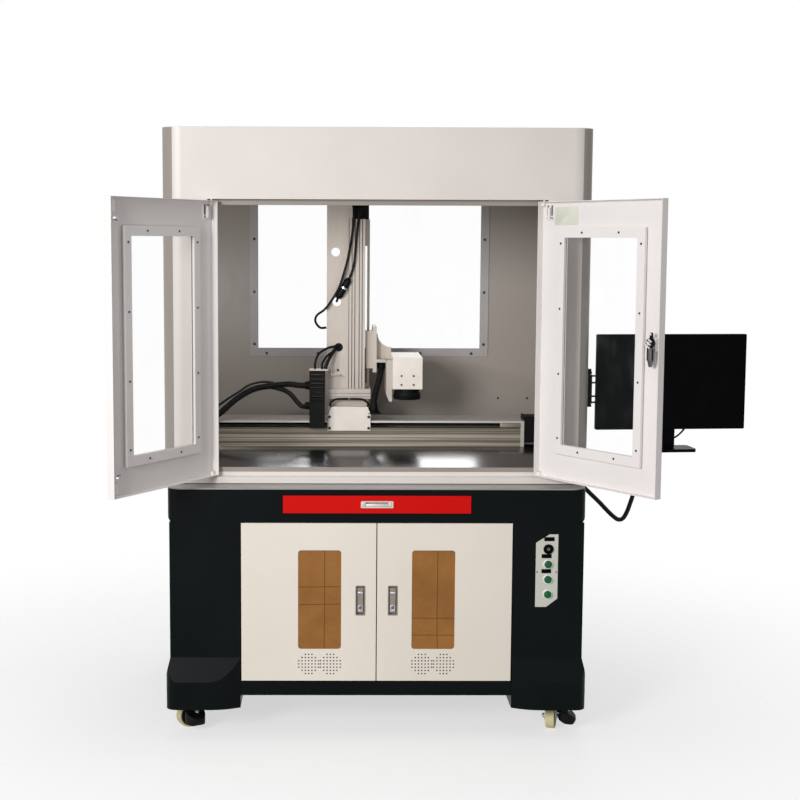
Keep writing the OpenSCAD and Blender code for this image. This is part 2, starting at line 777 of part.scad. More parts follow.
module left_cabinet_door() color([0.88, 0.85, 0.8]) mirror([1, 0, 0]) cabinet_door();
module left_cabinet_pane() color([0.75, 0.6, 0.42]) mirror([1, 0, 0]) cabinet_pane();
module left_door_lever() color([0.12, 0.12, 0.13]) mirror([1, 0, 0]) door_lever();
module right_cabinet_door() color([0.88, 0.85, 0.8]) cabinet_door();
module right_cabinet_pane() color([0.75, 0.6, 0.42]) cabinet_pane();
module right_door_lever() color([0.12, 0.12, 0.13]) door_lever();

// Drawer: tray and folded front, with a runner strip on each side
module drawer() color([0.86, 0.08, 0.06]) {
  front_x = drawer_w / 2 - drawer_gap;
  tray_x = drawer_w / 2 - 14.5;
  z0 = drawer_z - drawer_h / 2 + drawer_gap;
  z1 = drawer_z + drawer_h / 2 - drawer_gap;
  difference() {
    union() {
      block([-front_x, front_y, z0], [front_x, front_y + sheet, z1]);
      difference() {
        block([-tray_x, front_y + sheet, z0 + 2], [tray_x, front_y + drawer_d, z1 - 6]);
        block([-tray_x + sheet, front_y, z0 + 2 + sheet], [tray_x - sheet, front_y + drawer_d - sheet, z1]);
      }
    }
    block([-pull_w / 2 + 2, front_y - 1, drawer_z - pull_h / 2 + 2], [pull_w / 2 - 2, front_y + sheet + 1, drawer_z + pull_h / 2 - 2]);
  }
  for (side = [0, 1]) mirror([side, 0, 0])
    block([tray_x, front_y + 20, rail_z + slack], [tray_x + 12, front_y + drawer_d, rail_z + slack + 8]);
}

// Flush pull of the drawer
pull_w = 98;
pull_h = 21;

module drawer_handle() color([0.78, 0.79, 0.8]) {
  difference() {
    union() {
      upright(-pull_w / 2, front_y - 1.5, drawer_z - pull_h / 2, pull_w, 1.5, pull_h, 3);
      block([-pull_w / 2 + 2, front_y, drawer_z - pull_h / 2 + 2], [pull_w / 2 - 2, front_y + 14, drawer_z + pull_h / 2 - 2]);
    }
    block([-pull_w / 2 + 4, front_y - 2, drawer_z - pull_h / 2 + 3.5], [pull_w / 2 - 4, front_y + 12.5, drawer_z + pull_h / 2 - 3.5]);
  }
}

// Control plate on the right pedestal
module control_plate() color([0.88, 0.85, 0.8]) {
  w = 67;
  h = 223;
  cut = 26;
  x = control_x - 37;
  z = 404.5;
  difference() {
    along_y(plate_y, front_y)
      polygon([
        [x, z], [x + w / 2, z], [x + w, z + cut], [x + w, z + h], [x + w - cut, z + h], [x, z + h - cut]
      ]);
    for (c = control_zs) shaft([control_x, plate_y - 1, c], [control_x, front_y + 1, c], switch_r + 0.2);
  }
}

// Threaded bodies of the key switch and the three buttons, with their bezels
module switch_bodies() color([0.62, 0.62, 0.63]) {
  for (k = [0 : 3]) {
    z = control_zs[k];
    bore = k == 0 ? key_r + run : button_r + slack;
    difference() {
      union() {
        shaft([control_x, plate_y - 3, z], [control_x, plate_y, z], bezel_r);
        shaft([control_x, plate_y, z], [control_x, front_y + 12, z], switch_r - 0.2);
        block([control_x - 12, front_y + sheet, z - 12], [control_x + 12, front_y + 34, z + 12]);
      }
      shaft([control_x, plate_y - 4, z], [control_x, front_y + 20, z], bore);
    }
  }
}

button_r = 9;
button_travel = 4;
key_r = 7;

module button(z) {
  shaft([control_x, plate_y - 8, z], [control_x, front_y + 14, z], button_r);
}

module key_plug() color([0.75, 0.75, 0.76]) {
  z = control_zs[0];
  difference() {
    shaft([control_x, plate_y - 4, z], [control_x, front_y + 18, z], key_r);
    block([control_x - 1, plate_y - 5, z - 4], [control_x + 1, plate_y + 4, z + 4]);
  }
}

module upper_button() color([0.1, 0.6, 0.3]) button(control_zs[1]);
module middle_button() color([0.1, 0.6, 0.3]) button(control_zs[2]);
module lower_button() color([0.1, 0.6, 0.3]) button(control_zs[3]);

// Castor fork round the wheel, with its axle; the swivel axis is at the origin
module fork(off) {
  side_y = fork_gap + fork_t;
  difference() {
    union() {
      translate([0, 0, crown_z]) cylinder(h = 4, r = 24);
      for (side = [0, 1]) mirror([0, side, 0]) translate([0, side_y, 0]) rotate([90, 0, 0])
        linear_extrude(fork_t) union() {
          polygon([
            [-24, crown_z + 4], [20, crown_z + 4], [20, crown_z - 6], [14 - off, axle_z + 2],
            [-14 - off, axle_z + 2], [-24 - off / 2, 62]
          ]);
          translate([-off, axle_z]) circle(14);
        }
      shaft([-off, -side_y - 4, axle_z], [-off, side_y + 4, axle_z], axle_r);
      for (side = [0, 1]) mirror([0, side, 0]) shaft([-off, side_y, axle_z], [-off, side_y + 3.5, axle_z], 6.5);
      children();
    }
    translate([0, 0, crown_z - 1]) cylinder(h = 6, r = kingpin_r + run);
  }
}

// Lug and cross pin that carry the brake pedal
module pedal_lug() {
  block([-trail - 7, -pedal_y - 6, pedal_z - 6], [-trail + 7, -fork_gap - fork_t, pedal_z + 6]);
  shaft([-trail - 20, -pedal_y, pedal_z], [-trail + 20, -pedal_y, pedal_z], pin_r);
}

// Top plate and upper race of a castor
module castor_plate() {
  translate([0, 0, leg_z - 3]) linear_extrude(3) translate([-46, -33]) rounded(92, 66, 8);
  translate([0, 0, crown_z + 4 + slack]) cylinder(h = leg_z - 7 - crown_z - slack, r = 22);
}

module castor_mounts() color([0.75, 0.76, 0.77]) {
  for (x = [-1, 1]) {
    translate([x * castor_x, -castor_y, 0]) {
      castor_plate();
      translate([0, 0, crown_z - 4]) cylinder(h = 12, r = kingpin_r);
      translate([0, 0, crown_z - 4]) cylinder(h = 4 - slack, r = 9);
    }
    translate([x * castor_x, castor_y, 0]) {
      castor_plate();
      translate([0, 0, crown_z]) cylinder(h = 4 + 2 * slack, r = 20);
      rotate([0, 0, 90]) fork(0);
    }
  }
}

// Places a child at a front castor, turned to its heading
module at_left_castor() translate([-castor_x, -castor_y, 0]) rotate([0, 0, left_heading]) children();
module at_right_castor() translate([castor_x, -castor_y, 0]) rotate([0, 0, right_heading]) children();
module at_rear_castor(side) translate([side * castor_x, castor_y, 0]) rotate([0, 0, 90]) children();

module left_castor_fork() color([0.75, 0.76, 0.77]) at_left_castor() fork(trail) pedal_lug();
module right_castor_fork() color([0.75, 0.76, 0.77]) at_right_castor() fork(trail) pedal_lug();

// Castor wheel: crowned tread on a waisted hub
module wheel(off) {
  r = wheel_d / 2;
  h = wheel_w / 2;
  translate([-off, 0, r]) rotate([90, 0, 0]) rotate_extrude()
    polygon([
      [axle_r + run, -h - 1], [9, -h - 1], [9, -h + 3], [r - 9, -h + 3], [r - 9, -h], [r - 2, -h], [r, -h + 4],
      [r, h - 4], [r - 2, h], [r - 9, h], [r - 9, h - 3], [9, h - 3], [9, h + 1], [axle_r + run, h + 1]
    ]);
}

module front_left_wheel() color([0.8, 0.78, 0.6]) at_left_castor() wheel(trail);
module front_right_wheel() color([0.8, 0.78, 0.6]) at_right_castor() wheel(trail);
module rear_left_wheel() color([0.8, 0.78, 0.6]) at_rear_castor(-1) wheel(0);
module rear_right_wheel() color([0.8, 0.78, 0.6]) at_rear_castor(1) wheel(0);

// Brake pedal: a moulded paddle that rocks on the fork's cross pin
module brake_pedal() {
  difference() {
    intersection() {
      translate([-trail + 34, -pedal_y, pedal_z]) rotate([90, 0, -90]) linear_extrude(68)
        polygon([
          [-5.2, 8], [-5.2, -3], [3, -22], [20, -30], [46, -34], [54, -23], [50, -10], [30, 4], [10, 9]
        ]);
      translate([-trail, -pedal_y - 23, 0]) linear_extrude(80) union() {
        circle(31);
        translate([-23, 0]) square([46, 30]);
      }
    }
    block([-trail - 8, -pedal_y - 9, pedal_z - 40], [-trail + 8, 0, pedal_z + 10]);
    shaft([-trail - 40, -pedal_y, pedal_z], [-trail + 40, -pedal_y, pedal_z], pin_r + run);
  }
}

module left_brake_pedal() color([0.04, 0.04, 0.04]) at_left_castor() brake_pedal();
module right_brake_pedal() color([0.04, 0.04, 0.04]) at_right_castor() brake_pedal();

// X module: a grooved channel with two rails on its floor
module module_body() color([0.66, 0.63, 0.58]) {
  wall = 14;
  groove = 2;
  translate([mod_x0, 0, 0]) rotate([90, 0, 90]) linear_extrude(module_l) difference() {
    translate([mod_y0, table_z]) square([module_d, module_h]);
    translate([mod_y0 + wall, table_z + 12]) square([module_d - 2 * wall, module_h]);
    for (side = [0, 1], z = [13, 41, 57])
      translate([side == 0 ? mod_y0 - 1 : mod_y1 - groove, table_z + z]) square([groove + 1, 3]);
    translate([mod_y0 - 1, table_z - 1]) square([2.5, 14]);
    translate([mod_y1 - 1.5, table_z - 1]) square([2.5, 14]);
  }
  for (side = [-1, 1])
    block([mod_x0, mod_mid + side * 40 - 8, table_z + 12], [mod_x1, mod_mid + side * 40 + 8, table_z + 30]);
}

// Cover strip over the module, with the end plates that carry it
module module_cover() color([0.72, 0.71, 0.69]) {
  block([mod_x0, mod_y0, cover_z], [mod_x1, mod_y1, cover_z + cover_t]);
  for (x = [mod_x0 - end_t, mod_x1])
    block([x, mod_y0 - 3, table_z], [x + end_t, mod_y1 + 3, cover_z + cover_t]);
}

module x_motor() color([0.05, 0.05, 0.06]) {
  x = mod_x1 + end_t;
  z = table_z + 59;
  half = x_motor_w / 2;
  y = mod_y0 + half;
  block([x, y - half, z - half], [x + 8, y + half, z + half]);
  translate([x + 8, y - half + 1, z - half + 1]) rotate([90, 0, 90]) linear_extrude(72) rounded(x_motor_w - 2, x_motor_w - 2, 8);
}

// X carriage: a saddle that grips the rails through the two slots
module x_carriage() color([0.84, 0.82, 0.79]) {
  z0 = body_top - 10;
  z1 = car_top;
  top_z = cover_z + cover_t + 1.5;
  along_y(skirt_y, skirt_y + 5.5) saddle_face(z0, z1);
  along_y(mod_y1 + 1.5, mod_y1 + 7) saddle_face(z0, z1);
  block([car_x0 + 1, skirt_y + 5.5, top_z], [car_x1 - 1, mod_y1 + 1.5, z1 - 24]);
  block([car_x0 + 15, skirt_y + 5.5, z1 - 24], [car_x1 - 11, mod_y1 + 1.5, z1]);
  for (y = [[skirt_y + 5.5, mod_mid - 55], [mod_mid + 55, mod_y1 + 1.5]])
    block([car_x0 + 10, y[0], body_top + 2], [car_x1 - 10, y[1], cover_z - 2]);
  block([car_x0 + 10, mod_mid - 55, table_z + 30 + slack], [car_x1 - 10, mod_mid + 55, cover_z - 2]);
}

// Front outline of the saddle: a skirt with its upper corners cut back
module saddle_face(z0, z1) {
  polygon([
    [car_x0, z0], [car_x1, z0], [car_x1, z1 - 24], [car_x1 - 11, z1], [car_x0 + 15, z1], [car_x0, z1 - 27]
  ]);
}

// Column: base bracket, drilled side panel and the ribbed Z profile with its rail
module column() color([0.7, 0.68, 0.65]) {
  panel_top = prof_top + 120;
  panel_y = prof_y0 + 7;
  holes = [[30, 469, 15], [34, 299, 15], [41, 143, 12.5]];
  block([car_x0 + 6, prof_y0 + 12, car_top], [car_x1 - 6, prof_y1 + 15, base_top - 34]);
  block([car_x0 - 4, prof_y0 - 8, base_top - 34], [car_x1, prof_y1 + 20, base_top]);
  difference() {
    block([panel_x0, panel_y, base_top], [prof_x0, panel_y + 3, panel_top]);
    for (h = holes)
      shaft([panel_x0 + h.x, panel_y - 1, base_top + h.y], [panel_x0 + h.x, panel_y + 4, base_top + h.y], h.z);
  }
  block([panel_x0, panel_y + 3, base_top], [panel_x0 + 3, prof_y1, panel_top]);
  translate([0, 0, base_top]) linear_extrude(z_profile_h) difference() {
    translate([prof_x0, prof_y0]) square([prof_x1 - prof_x0, prof_y1 - prof_y0]);
    for (x = [8, 18, 33, 43]) translate([prof_x0 + x, prof_y0 - 1]) square([3, 4]);
    translate([prof_x0 + 6, prof_y0 + 12]) square([prof_x1 - prof_x0 - 12, prof_y1 - prof_y0 - 24]);
  }
  block([prof_x0, panel_y, prof_top], [prof_x0 + 9, panel_y + 16, panel_top]);
  block([rail_x0, rail_mid - 15, base_top], [rail_x0 + rail_t, rail_mid + 15, prof_top]);
  for (z = [[base_top, base_top + 12], [prof_top - 91, prof_top]])
    block([prof_x1, rail_mid - 15, z[0]], [rail_x0 + rail_t, rail_mid + 15, z[1]]);
  // Bracket that carries the cable chain's top
  block([chain_x0, chain_y0 - 2, chain_top], [chain_x1 + 10, chain_y1 + 2, chain_top + 5]);
  block([chain_x1 + 2, chain_y1 + 2, chain_top], [chain_x1 + 10, prof_y0 - 8, chain_top + 5]);
  block([chain_x1 + 2, prof_y0 - 16, base_top - 20], [chain_x1 + 10, prof_y0 - 8, chain_top + 5]);
}

module z_motor() color([0.05, 0.05, 0.06]) {
  x = (prof_x0 + prof_x1) / 2 + 12;
  half = z_motor_w / 2;
  block([x - half - 4, rail_mid - half, prof_top], [x + half, rail_mid + half, prof_top + 6]);
  translate([x - half, rail_mid - half, prof_top + 6]) linear_extrude(74) rounded(z_motor_w, z_motor_w, 5);
}

// Cable chain: a plain trunk, and above it links with open ribbed sides
module cable_chain() color([0.05, 0.05, 0.05]) {
  w = chain_x1 - chain_x0;
  d = chain_y1 - chain_y0;
  translate([chain_x0, chain_y0, trunk_z]) difference() {
    cube([w, d, trunk_h]);
    translate([3, 3, 3]) cube([w - 6, d - 6, trunk_h]);
  }
  for (k = [0 : chain_links - 1]) translate([chain_x0, chain_y0, trunk_z + trunk_h + k * link_h]) {
    for (x = [0, w - 5]) translate([x, 4, 0]) cube([5, d - 8, link_h]);
    for (y = [0, d - 4]) translate([0, y, 2]) cube([w, 4, link_h - 4]);
    translate([w / 2 - 1.5, 4, 2]) cube([3, d - 8, link_h - 4]);
  }
}

// Z carriage block, gusseted plate and the cheek that holds the scan head
module head_bracket() color([0.68, 0.67, 0.65]) {
  cheek = 20;
  arm_z0 = head_z1 - 26;
  difference() {
    block([prof_x1 + 4, rail_mid - 40, block_z0], [bplate_x0, rail_mid + 40, block_z1]);
    block([rail_x0 - slack, rail_mid - 15 - slack, block_z0 - 1], [rail_x0 + rail_t + slack, rail_mid + 15 + slack, block_z1 + 1]);
  }
  block([bplate_x0, prof_y0, block_z0 - 12], [bplate_x1, prof_y1 + 10, block_z1 + 17]);
  along_y(rail_mid - 30, rail_mid - 14) difference() {
    polygon([[bplate_x1, arm_z0 + 11], [head_x0, arm_z0 + 11], [head_x0, arm_z0 + 98], [bplate_x1, arm_z0 + 98]]);
    translate([head_x0, arm_z0 + 98]) circle(47);
  }
  block([bplate_x1, prof_y0, arm_z0], [head_x0 - cheek, prof_y1 - 20, arm_z0 + 11]);
  along_y(head_y0 + 40, head_y0 + head_l)
    polygon([
      [head_x0 - cheek, head_z0 - 23], [head_x0 - 10, head_z0 - 46], [head_x0, head_z0 - 46],
      [head_x0, arm_z0 + 11], [head_x0 - cheek, arm_z0 + 11]
    ]);
}

// Scan head: mirror housing in front, beam tube housing behind
module scan_head() color([0.8, 0.79, 0.78]) {
  split = 120;
  block([head_x0, head_y0, head_z0], [head_x1, head_y0 + split, head_z1]);
  block([head_x0 + 1, head_y0 + split, head_z0 + 1], [head_x1 - 1, head_y0 + split + 2, head_z1 - 1]);
  block([head_x0, head_y0 + split + 2, head_z0], [head_x1, head_y0 + head_l, head_z1]);
}

// Scan lens: stepped barrel with its glass set back in the mouth
module scan_lens() color([0.05, 0.05, 0.05]) {
  r = lens_d / 2;
  translate([lens_x, lens_y, head_z0 - lens_h]) difference() {
    rotate_extrude()
      polygon([
        [0, lens_h], [r, lens_h], [r, 22], [r - 1.5, 21], [r - 1.5, 19], [r, 18], [r, 7], [r - 3, 5], [r - 3, 0],
        [r - 10, 0], [r - 12, 5], [0, 7]
      ]);
  }
}

// Wall plate of the monitor arm, with its two lugs and the upright pin
module arm_wall_plate() color([0.05, 0.05, 0.05]) {
  x = hood_w / 2;
  low = arm_z[3] - 14;
  top = arm_z[0] + 14;
  translate([x, arm_y - 22, low - 10]) rotate([90, 0, 90]) linear_extrude(5) rounded(44, top - low + 20, 6);
  for (z = [low, top - 8]) {
    block([x + 5, arm_y - 11, z], [arm_x, arm_y + 11, z + 8]);
    translate([arm_x, arm_y, z]) cylinder(h = 8, r = 11);
  }
  translate([arm_x, arm_y, low]) cylinder(h = top - low + 6, r = arm_pin_r);
  translate([arm_x, arm_y, top]) cylinder(h = 9, r = 9);
}

// Monitor arm: two pairs of thin bars between two pin tubes
module monitor_arm() color([0.05, 0.05, 0.05]) {
  low = arm_z[3] - 4;
  h = arm_z[0] - arm_z[3] + 8;
  ends = [[arm_x, arm_y], [mon_pin_x, mon_pin_y]];
  difference() {
    union() {
      for (z = arm_z) translate([arm_x, arm_y, z - 2]) rotate([0, 0, arm_angle])
        translate([0, -12, 0]) cube([arm_l, 24, 4]);
      for (p = ends) translate([p.x, p.y, low]) cylinder(h = h, r = 12);
    }
    for (p = ends) translate([p.x, p.y, low - 1]) cylinder(h = h + 2, r = arm_pin_r + run);
  }
}

// Monitor: screen slab, housing, mount with its pin, and the foot left on it
module monitor() color([0.03, 0.03, 0.03])
  translate([mon_pin_x, mon_pin_y, 0]) rotate([0, 0, monitor_yaw]) {
    z0 = mon_z - monitor_h / 2;
    back = mon_front + mon_t;
    low = arm_z[3] - 14;
    top = arm_z[0] + 14;
    upright(-monitor_w / 2, mon_front, z0, monitor_w, 16, monitor_h, 4);
    upright(-monitor_w / 2 + 60, mon_front + 16, z0 + 30, monitor_w - 120, mon_t - 16, monitor_h - 60, 12);
    upright(-50, back, (low + top) / 2 - 55, 100, 4, 110, 6);
    for (z = [low, top - 8]) {
      block([-11, back + 4, z], [11, 0, z + 8]);
      translate([0, 0, z]) cylinder(h = 8, r = 11);
    }
    translate([0, 0, low]) cylinder(h = top - low, r = arm_pin_r);
    upright(-21, mon_front + 18, z0 - 62, 42, 18, 92, 4);
    translate([-82, mon_front - 24, z0 - 72]) linear_extrude(10) rounded(164, 100, 12);
  }

// Laser source and computer, standing on the cabinet floor
module laser_source() color([0.6, 0.62, 0.64]) {
  upright(-330, 80, floor_z, 260, 360, 130, 4);
  for (k = [0 : 5]) block([-310 + k * 38, 74, floor_z + 20], [-306 + k * 38, 80, floor_z + 110]);
}

module computer() color([0.15, 0.15, 0.16]) {
  upright(90, 80, floor_z, 180, 380, 400, 4);
  upright(100, 76, floor_z + 300, 160, 4, 80, 3);
}

// Hoses to the carriage and the leads on the column
module carriage_cables() color([0.05, 0.05, 0.05]) {
  cord(hose_a, hose_d);
  cord(hose_b, hose_d - 4);
  cord(hose_c, thin_d, 8);
  cord(z_lead, thin_d, 8);
  cord(brake_lead, thin_d, 8);
  cord(chain_lead_a, thin_d, 8);
  cord(chain_lead_b, thin_d, 8);
}

module head_conduit() color([0.05, 0.05, 0.05]) cord(conduit, conduit_d);

module monitor_cable() color([0.05, 0.05, 0.05]) {
  cord(screen_cable, screen_cable_d);
  cord(screen_lead, 6, 8);
}

left_pedestal();
right_pedestal();
top_box();
cabinet_shell();
deck_plate();
worktable();
hood_shell();
hood_rear_panel();
rear_window_frame();
rear_window_pane();
left_hood_door();
left_hood_frame();
left_hood_pane();
upper_door_bolt();
lower_door_bolt();
right_hood_door();
right_hood_frame();
right_hood_pane();
door_latch();
left_cabinet_door();
left_cabinet_pane();
left_door_lever();
right_cabinet_door();
right_cabinet_pane();
right_door_lever();
drawer();
drawer_handle();
control_plate();
switch_bodies();
key_plug();
upper_button();
middle_button();
lower_button();
castor_mounts();
left_castor_fork();
right_castor_fork();
front_left_wheel();
front_right_wheel();
rear_left_wheel();
rear_right_wheel();
left_brake_pedal();
right_brake_pedal();
module_body();
module_cover();
x_motor();
x_carriage();
column();
z_motor();
cable_chain();
head_bracket();
scan_head();
scan_lens();
arm_wall_plate();
monitor_arm();
monitor();
laser_source();
computer();
carriage_cables();
head_conduit();
monitor_cable();
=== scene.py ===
import json
import math

import bmesh
import bpy
from mathutils import Matrix, Vector


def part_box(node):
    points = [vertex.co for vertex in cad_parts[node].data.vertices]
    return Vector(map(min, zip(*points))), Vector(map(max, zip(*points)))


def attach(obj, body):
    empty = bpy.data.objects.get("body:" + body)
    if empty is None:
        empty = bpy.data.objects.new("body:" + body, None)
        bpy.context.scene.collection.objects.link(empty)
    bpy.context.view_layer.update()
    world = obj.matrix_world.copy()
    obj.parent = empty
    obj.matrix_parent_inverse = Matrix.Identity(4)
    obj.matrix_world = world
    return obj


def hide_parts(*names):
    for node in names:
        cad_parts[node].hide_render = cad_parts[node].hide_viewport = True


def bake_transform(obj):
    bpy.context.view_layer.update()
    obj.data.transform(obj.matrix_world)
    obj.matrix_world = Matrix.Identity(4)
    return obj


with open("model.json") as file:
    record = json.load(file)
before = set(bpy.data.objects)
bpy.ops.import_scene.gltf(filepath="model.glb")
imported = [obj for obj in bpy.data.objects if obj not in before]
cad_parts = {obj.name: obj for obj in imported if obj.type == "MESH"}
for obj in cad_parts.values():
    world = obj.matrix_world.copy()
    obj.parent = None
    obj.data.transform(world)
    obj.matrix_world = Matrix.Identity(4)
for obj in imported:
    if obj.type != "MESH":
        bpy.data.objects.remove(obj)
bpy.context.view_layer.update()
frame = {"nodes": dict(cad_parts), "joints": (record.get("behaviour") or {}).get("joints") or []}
scene = bpy.context.scene
jointOf = {joint["name"]: joint for joint in frame["joints"]}
forward, rearward = (0, -1, 0), (0, 1, 0)
upward, downward = (0, 0, 1), (0, 0, -1)
print("frame loaded")


def nodeBox(node):  # a node's corners in millimetres
    low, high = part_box(node)
    return Vector(low) * 1000, Vector(high) * 1000


def aimed(place, toward):  # stands at place with its own Z along toward
    return Matrix.Translation(place) @ Vector(toward).to_track_quat("Z", "Y").to_matrix().to_4x4()


def stand(name, data, matrix=None):  # a new object in the scene
    obj = bpy.data.objects.new(name, data)
    if matrix:
        obj.matrix_world = matrix
    scene.collection.objects.link(obj)
    return obj


view = {
    "place": (-0.151, -4.890, 1.500),
    "pitch": math.atan(0.10687),  # looking down
    "yaw": math.radians(0.5),  # a little to the right
    "roll": math.radians(0.2),
    "lens": 66.8,
    "shiftX": 0.075,
    "shiftY": 0.00125,
}


def addCamera():
    data = bpy.data.cameras.new("viewCamera")
    data.lens = view["lens"]
    data.shift_x = view["shiftX"]
    data.shift_y = view["shiftY"]
    turn = (
        Matrix.Rotation(-view["yaw"], 4, "Z")
        @ Matrix.Rotation(math.pi / 2 - view["pitch"], 4, "X")
        @ Matrix.Rotation(view["roll"], 4, "Z")
    )
    scene.camera = stand("viewCamera", data, Matrix.Translation(view["place"]) @ turn)


lamps = {
    "key": {"place": (-2.6, -4.8, 2.2), "aim": (0.1, -0.3, 1.1), "size": 1.7, "power": 212},
    "front": {"place": (-0.4, -5.2, 1.5), "aim": (0, 0, 1.0), "size": 1.6, "power": 8},
    "top": {"place": (0.2, 0.2, 4.4), "aim": (0, 0, 1.0), "size": 3.0, "power": 50},
    "back": {"place": (0.8, 4.2, 3.2), "aim": (0, 0, 1.0), "size": 2.4, "power": 60},
    # the two inside lamps stand behind the doorway's jambs, clear of the sheet
    "rightInside": {"place": (0.575, -0.335, 1.35), "aim": (-0.6, 0.0, 1.2), "size": 0.07, "power": 1.5},
    "leftInside": {"place": (-0.575, -0.335, 1.30), "aim": (-0.25, 0.4, 1.15), "size": 0.07, "power": 2.4},
}


def addLamps():
    for name, lamp in lamps.items():
        data = bpy.data.lights.new(name, "AREA")
        data.shape = "DISK"
        data.size = lamp["size"]
        data.energy = lamp["power"]
        obj = stand(name, data, aimed(lamp["place"], Vector(lamp["place"]) - Vector(lamp["aim"])))
        obj.visible_camera = False


def paint(red, green, blue):  # 0 to 255 as seen, to the linear colour
    return tuple(
        (c / 12.92 if c <= 0.04045 else ((c + 0.055) / 1.055) ** 2.4)
        for c in (red / 255, green / 255, blue / 255)
    ) + (1.0,)


def shaderMaths(operation):
    return lambda wire, other: wire.maths(operation, wire, other)


class Wire:  # an output that can stand in an expression
    def __init__(self, finish, socket):
        self.finish = finish
        self.socket = socket

    def maths(self, operation, first, second=0.0):
        return self.finish.make("ShaderNodeMath", {"operation": operation}, {0: first, 1: second})

    __add__ = __radd__ = shaderMaths("ADD")
    __sub__ = shaderMaths("SUBTRACT")
    __mul__ = shaderMaths("MULTIPLY")
    __gt__ = shaderMaths("GREATER_THAN")
    __lt__ = shaderMaths("LESS_THAN")

    def __rsub__(self, other):
        return self.maths("SUBTRACT", other, self)


class Finish:  # a material and the nodes that make it
    def __init__(self, name, constants):
        self.material = bpy.data.materials.new(name)
        self.material.use_nodes = True
        self.tree = self.material.node_tree
        self.shader = self.tree.nodes["Principled BSDF"]
        for socket, value in constants.items():
            self.shader.inputs[socket].default_value = value
        self.spot = self.make("ShaderNodeTexCoord", {}, {}, 3)  # Object coordinates
        split = self.make("ShaderNodeSeparateXYZ", {}, {0: self.spot}).socket.node
        self.x, self.y, self.z = (Wire(self, axis) for axis in split.outputs)

    def make(self, kind, settings, values, output=0):
        node = self.tree.nodes.new(kind)
        for key, value in settings.items():
            setattr(node, key, value)
        for key, value in values.items():
            if isinstance(value, Wire):
                self.tree.links.new(value.socket, node.inputs[key])
            else:
                node.inputs[key].default_value = value
        return Wire(self, node.outputs[output])

    def noise(self, scale, detail=2.0, rough=0.5, stretch=None):
        spot = self.spot
        if stretch:
            spot = self.make("ShaderNodeVectorMath", {"operation": "MULTIPLY"}, {0: spot, 1: stretch})
        values = {"Vector": spot, "Scale": scale, "Detail": detail, "Roughness": rough}
        return self.make("ShaderNodeTexNoise", {}, values)

    def between(self, value, low, high, outLow=0.0, outHigh=1.0):
        return self.make(
            "ShaderNodeMapRange", {"interpolation_type": "SMOOTHSTEP"},
            {0: value, 1: low, 2: high, 3: outLow, 4: outHigh},
        )

    def mix(self, factor, first, second):
        return self.make("ShaderNodeMix", {"data_type": "RGBA"}, {0: factor, 6: first, 7: second}, 2)

    def absolute(self, value):
        return value.maths("ABSOLUTE", value)

    def larger(self, first, second):
        return first.maths("MAXIMUM", first, second)

    def band(self, value, middle, half):  # one near the middle, nothing beyond half
        return self.between(self.absolute(value - middle), half * 1.4, half * 0.6)

    def bump(self, height, distance, strength=1.0, below=None):
        values = {"Height": height, "Distance": distance, "Strength": strength}
        if below:
            values["Normal"] = below
        return self.make("ShaderNodeBump", {}, values)

    def softEdge(self, radius):
        return self.make("ShaderNodeBevel", {"samples": 4}, {"Radius": radius})

    def feed(self, **wires):
        for socket, wire in wires.items():
            self.tree.links.new(wire.socket, self.shader.inputs[socket.replace("_", " ")])
        return self.material


# powder coat on folded sheet
def enamel(name, colour, shade, rough, shine=0.45, peel=480, smear=0.12, innerShade=None):
    f = Finish(name, {"Metallic": 0.0, "Specular IOR Level": shine})
    cloud = f.noise(1.7, 4, 0.55)
    smears = f.between(f.noise(9, 5, 0.7, (1, 1, 0.35)), 0.52, 0.78)
    peeled = f.noise(peel, 2, 0.5)
    tone = f.mix(f.between(cloud, 0.3, 0.7), colour, shade)
    tone = f.mix(smears * smear, tone, shade)
    if innerShade:  # painted shade: the hood's inner faces, coloured a darker grey for the shade inside the hood
        shadedWalls = (f.absolute(f.x) < innerShade["halfWidth"]) * (f.z < innerShade["top"]) * (f.z > innerShade["low"])
        shadedWalls = shadedWalls * (f.y > innerShade["front"]) * (f.y < innerShade["back"])
        tone = f.mix(shadedWalls, tone, paint(*innerShade["tone"]))
    rough = rough + cloud * 0.06 + smears * 0.08
    relief = f.bump(peeled, 0.00012, 0.35, f.softEdge(0.0012))
    return f.feed(Base_Color=tone, Roughness=rough, Normal=relief)


# bare or anodised metal with a grain
def brushed(name, colour, shade, rough, metal=0.9, grain=(220, 220, 220)):
    f = Finish(name, {"Specular IOR Level": 0.5})
    drawn = f.noise(1.0, 3, 0.6, grain)
    cloud = f.noise(6, 4, 0.6)
    tone = f.mix(drawn, colour, shade)
    tone = f.mix(f.between(cloud, 0.55, 0.8) * 0.35, tone, shade)
    rough = rough + drawn * 0.12 + cloud * 0.08
    relief = f.bump(drawn, 0.00006, 0.3, f.softEdge(0.0006))
    return f.feed(Base_Color=tone, Roughness=rough, Metallic=cloud * 0.04 + metal, Normal=relief)


# moulded plastic or rubber
def moulded(name, colour, shade, rough, shine=0.4, grain=1400, depth=0.0001):
    f = Finish(name, {"Metallic": 0.0, "Specular IOR Level": shine})
    fine = f.noise(grain, 2, 0.6)
    cloud = f.noise(14, 4, 0.6)
    tone = f.mix(f.between(cloud, 0.35, 0.75), colour, shade)
    rough = rough + fine * 0.1 + cloud * 0.06
    relief = f.bump(fine, depth, 0.4, f.softEdge(0.0008))
    return f.feed(Base_Color=tone, Roughness=rough, Normal=relief)


def clearPane():  # clear acrylic with faint smears
    f = Finish("clearPane", {"Metallic": 0.0, "Specular IOR Level": 0.12})
    smear = f.between(f.noise(11, 5, 0.7, (1, 1, 0.5)), 0.45, 0.75)
    return f.feed(
        Base_Color=f.mix(smear, paint(150, 160, 162), paint(235, 238, 236)),
        Roughness=smear * 0.08 + 0.03,
        Alpha=smear * 0.015 + 0.01,
    )


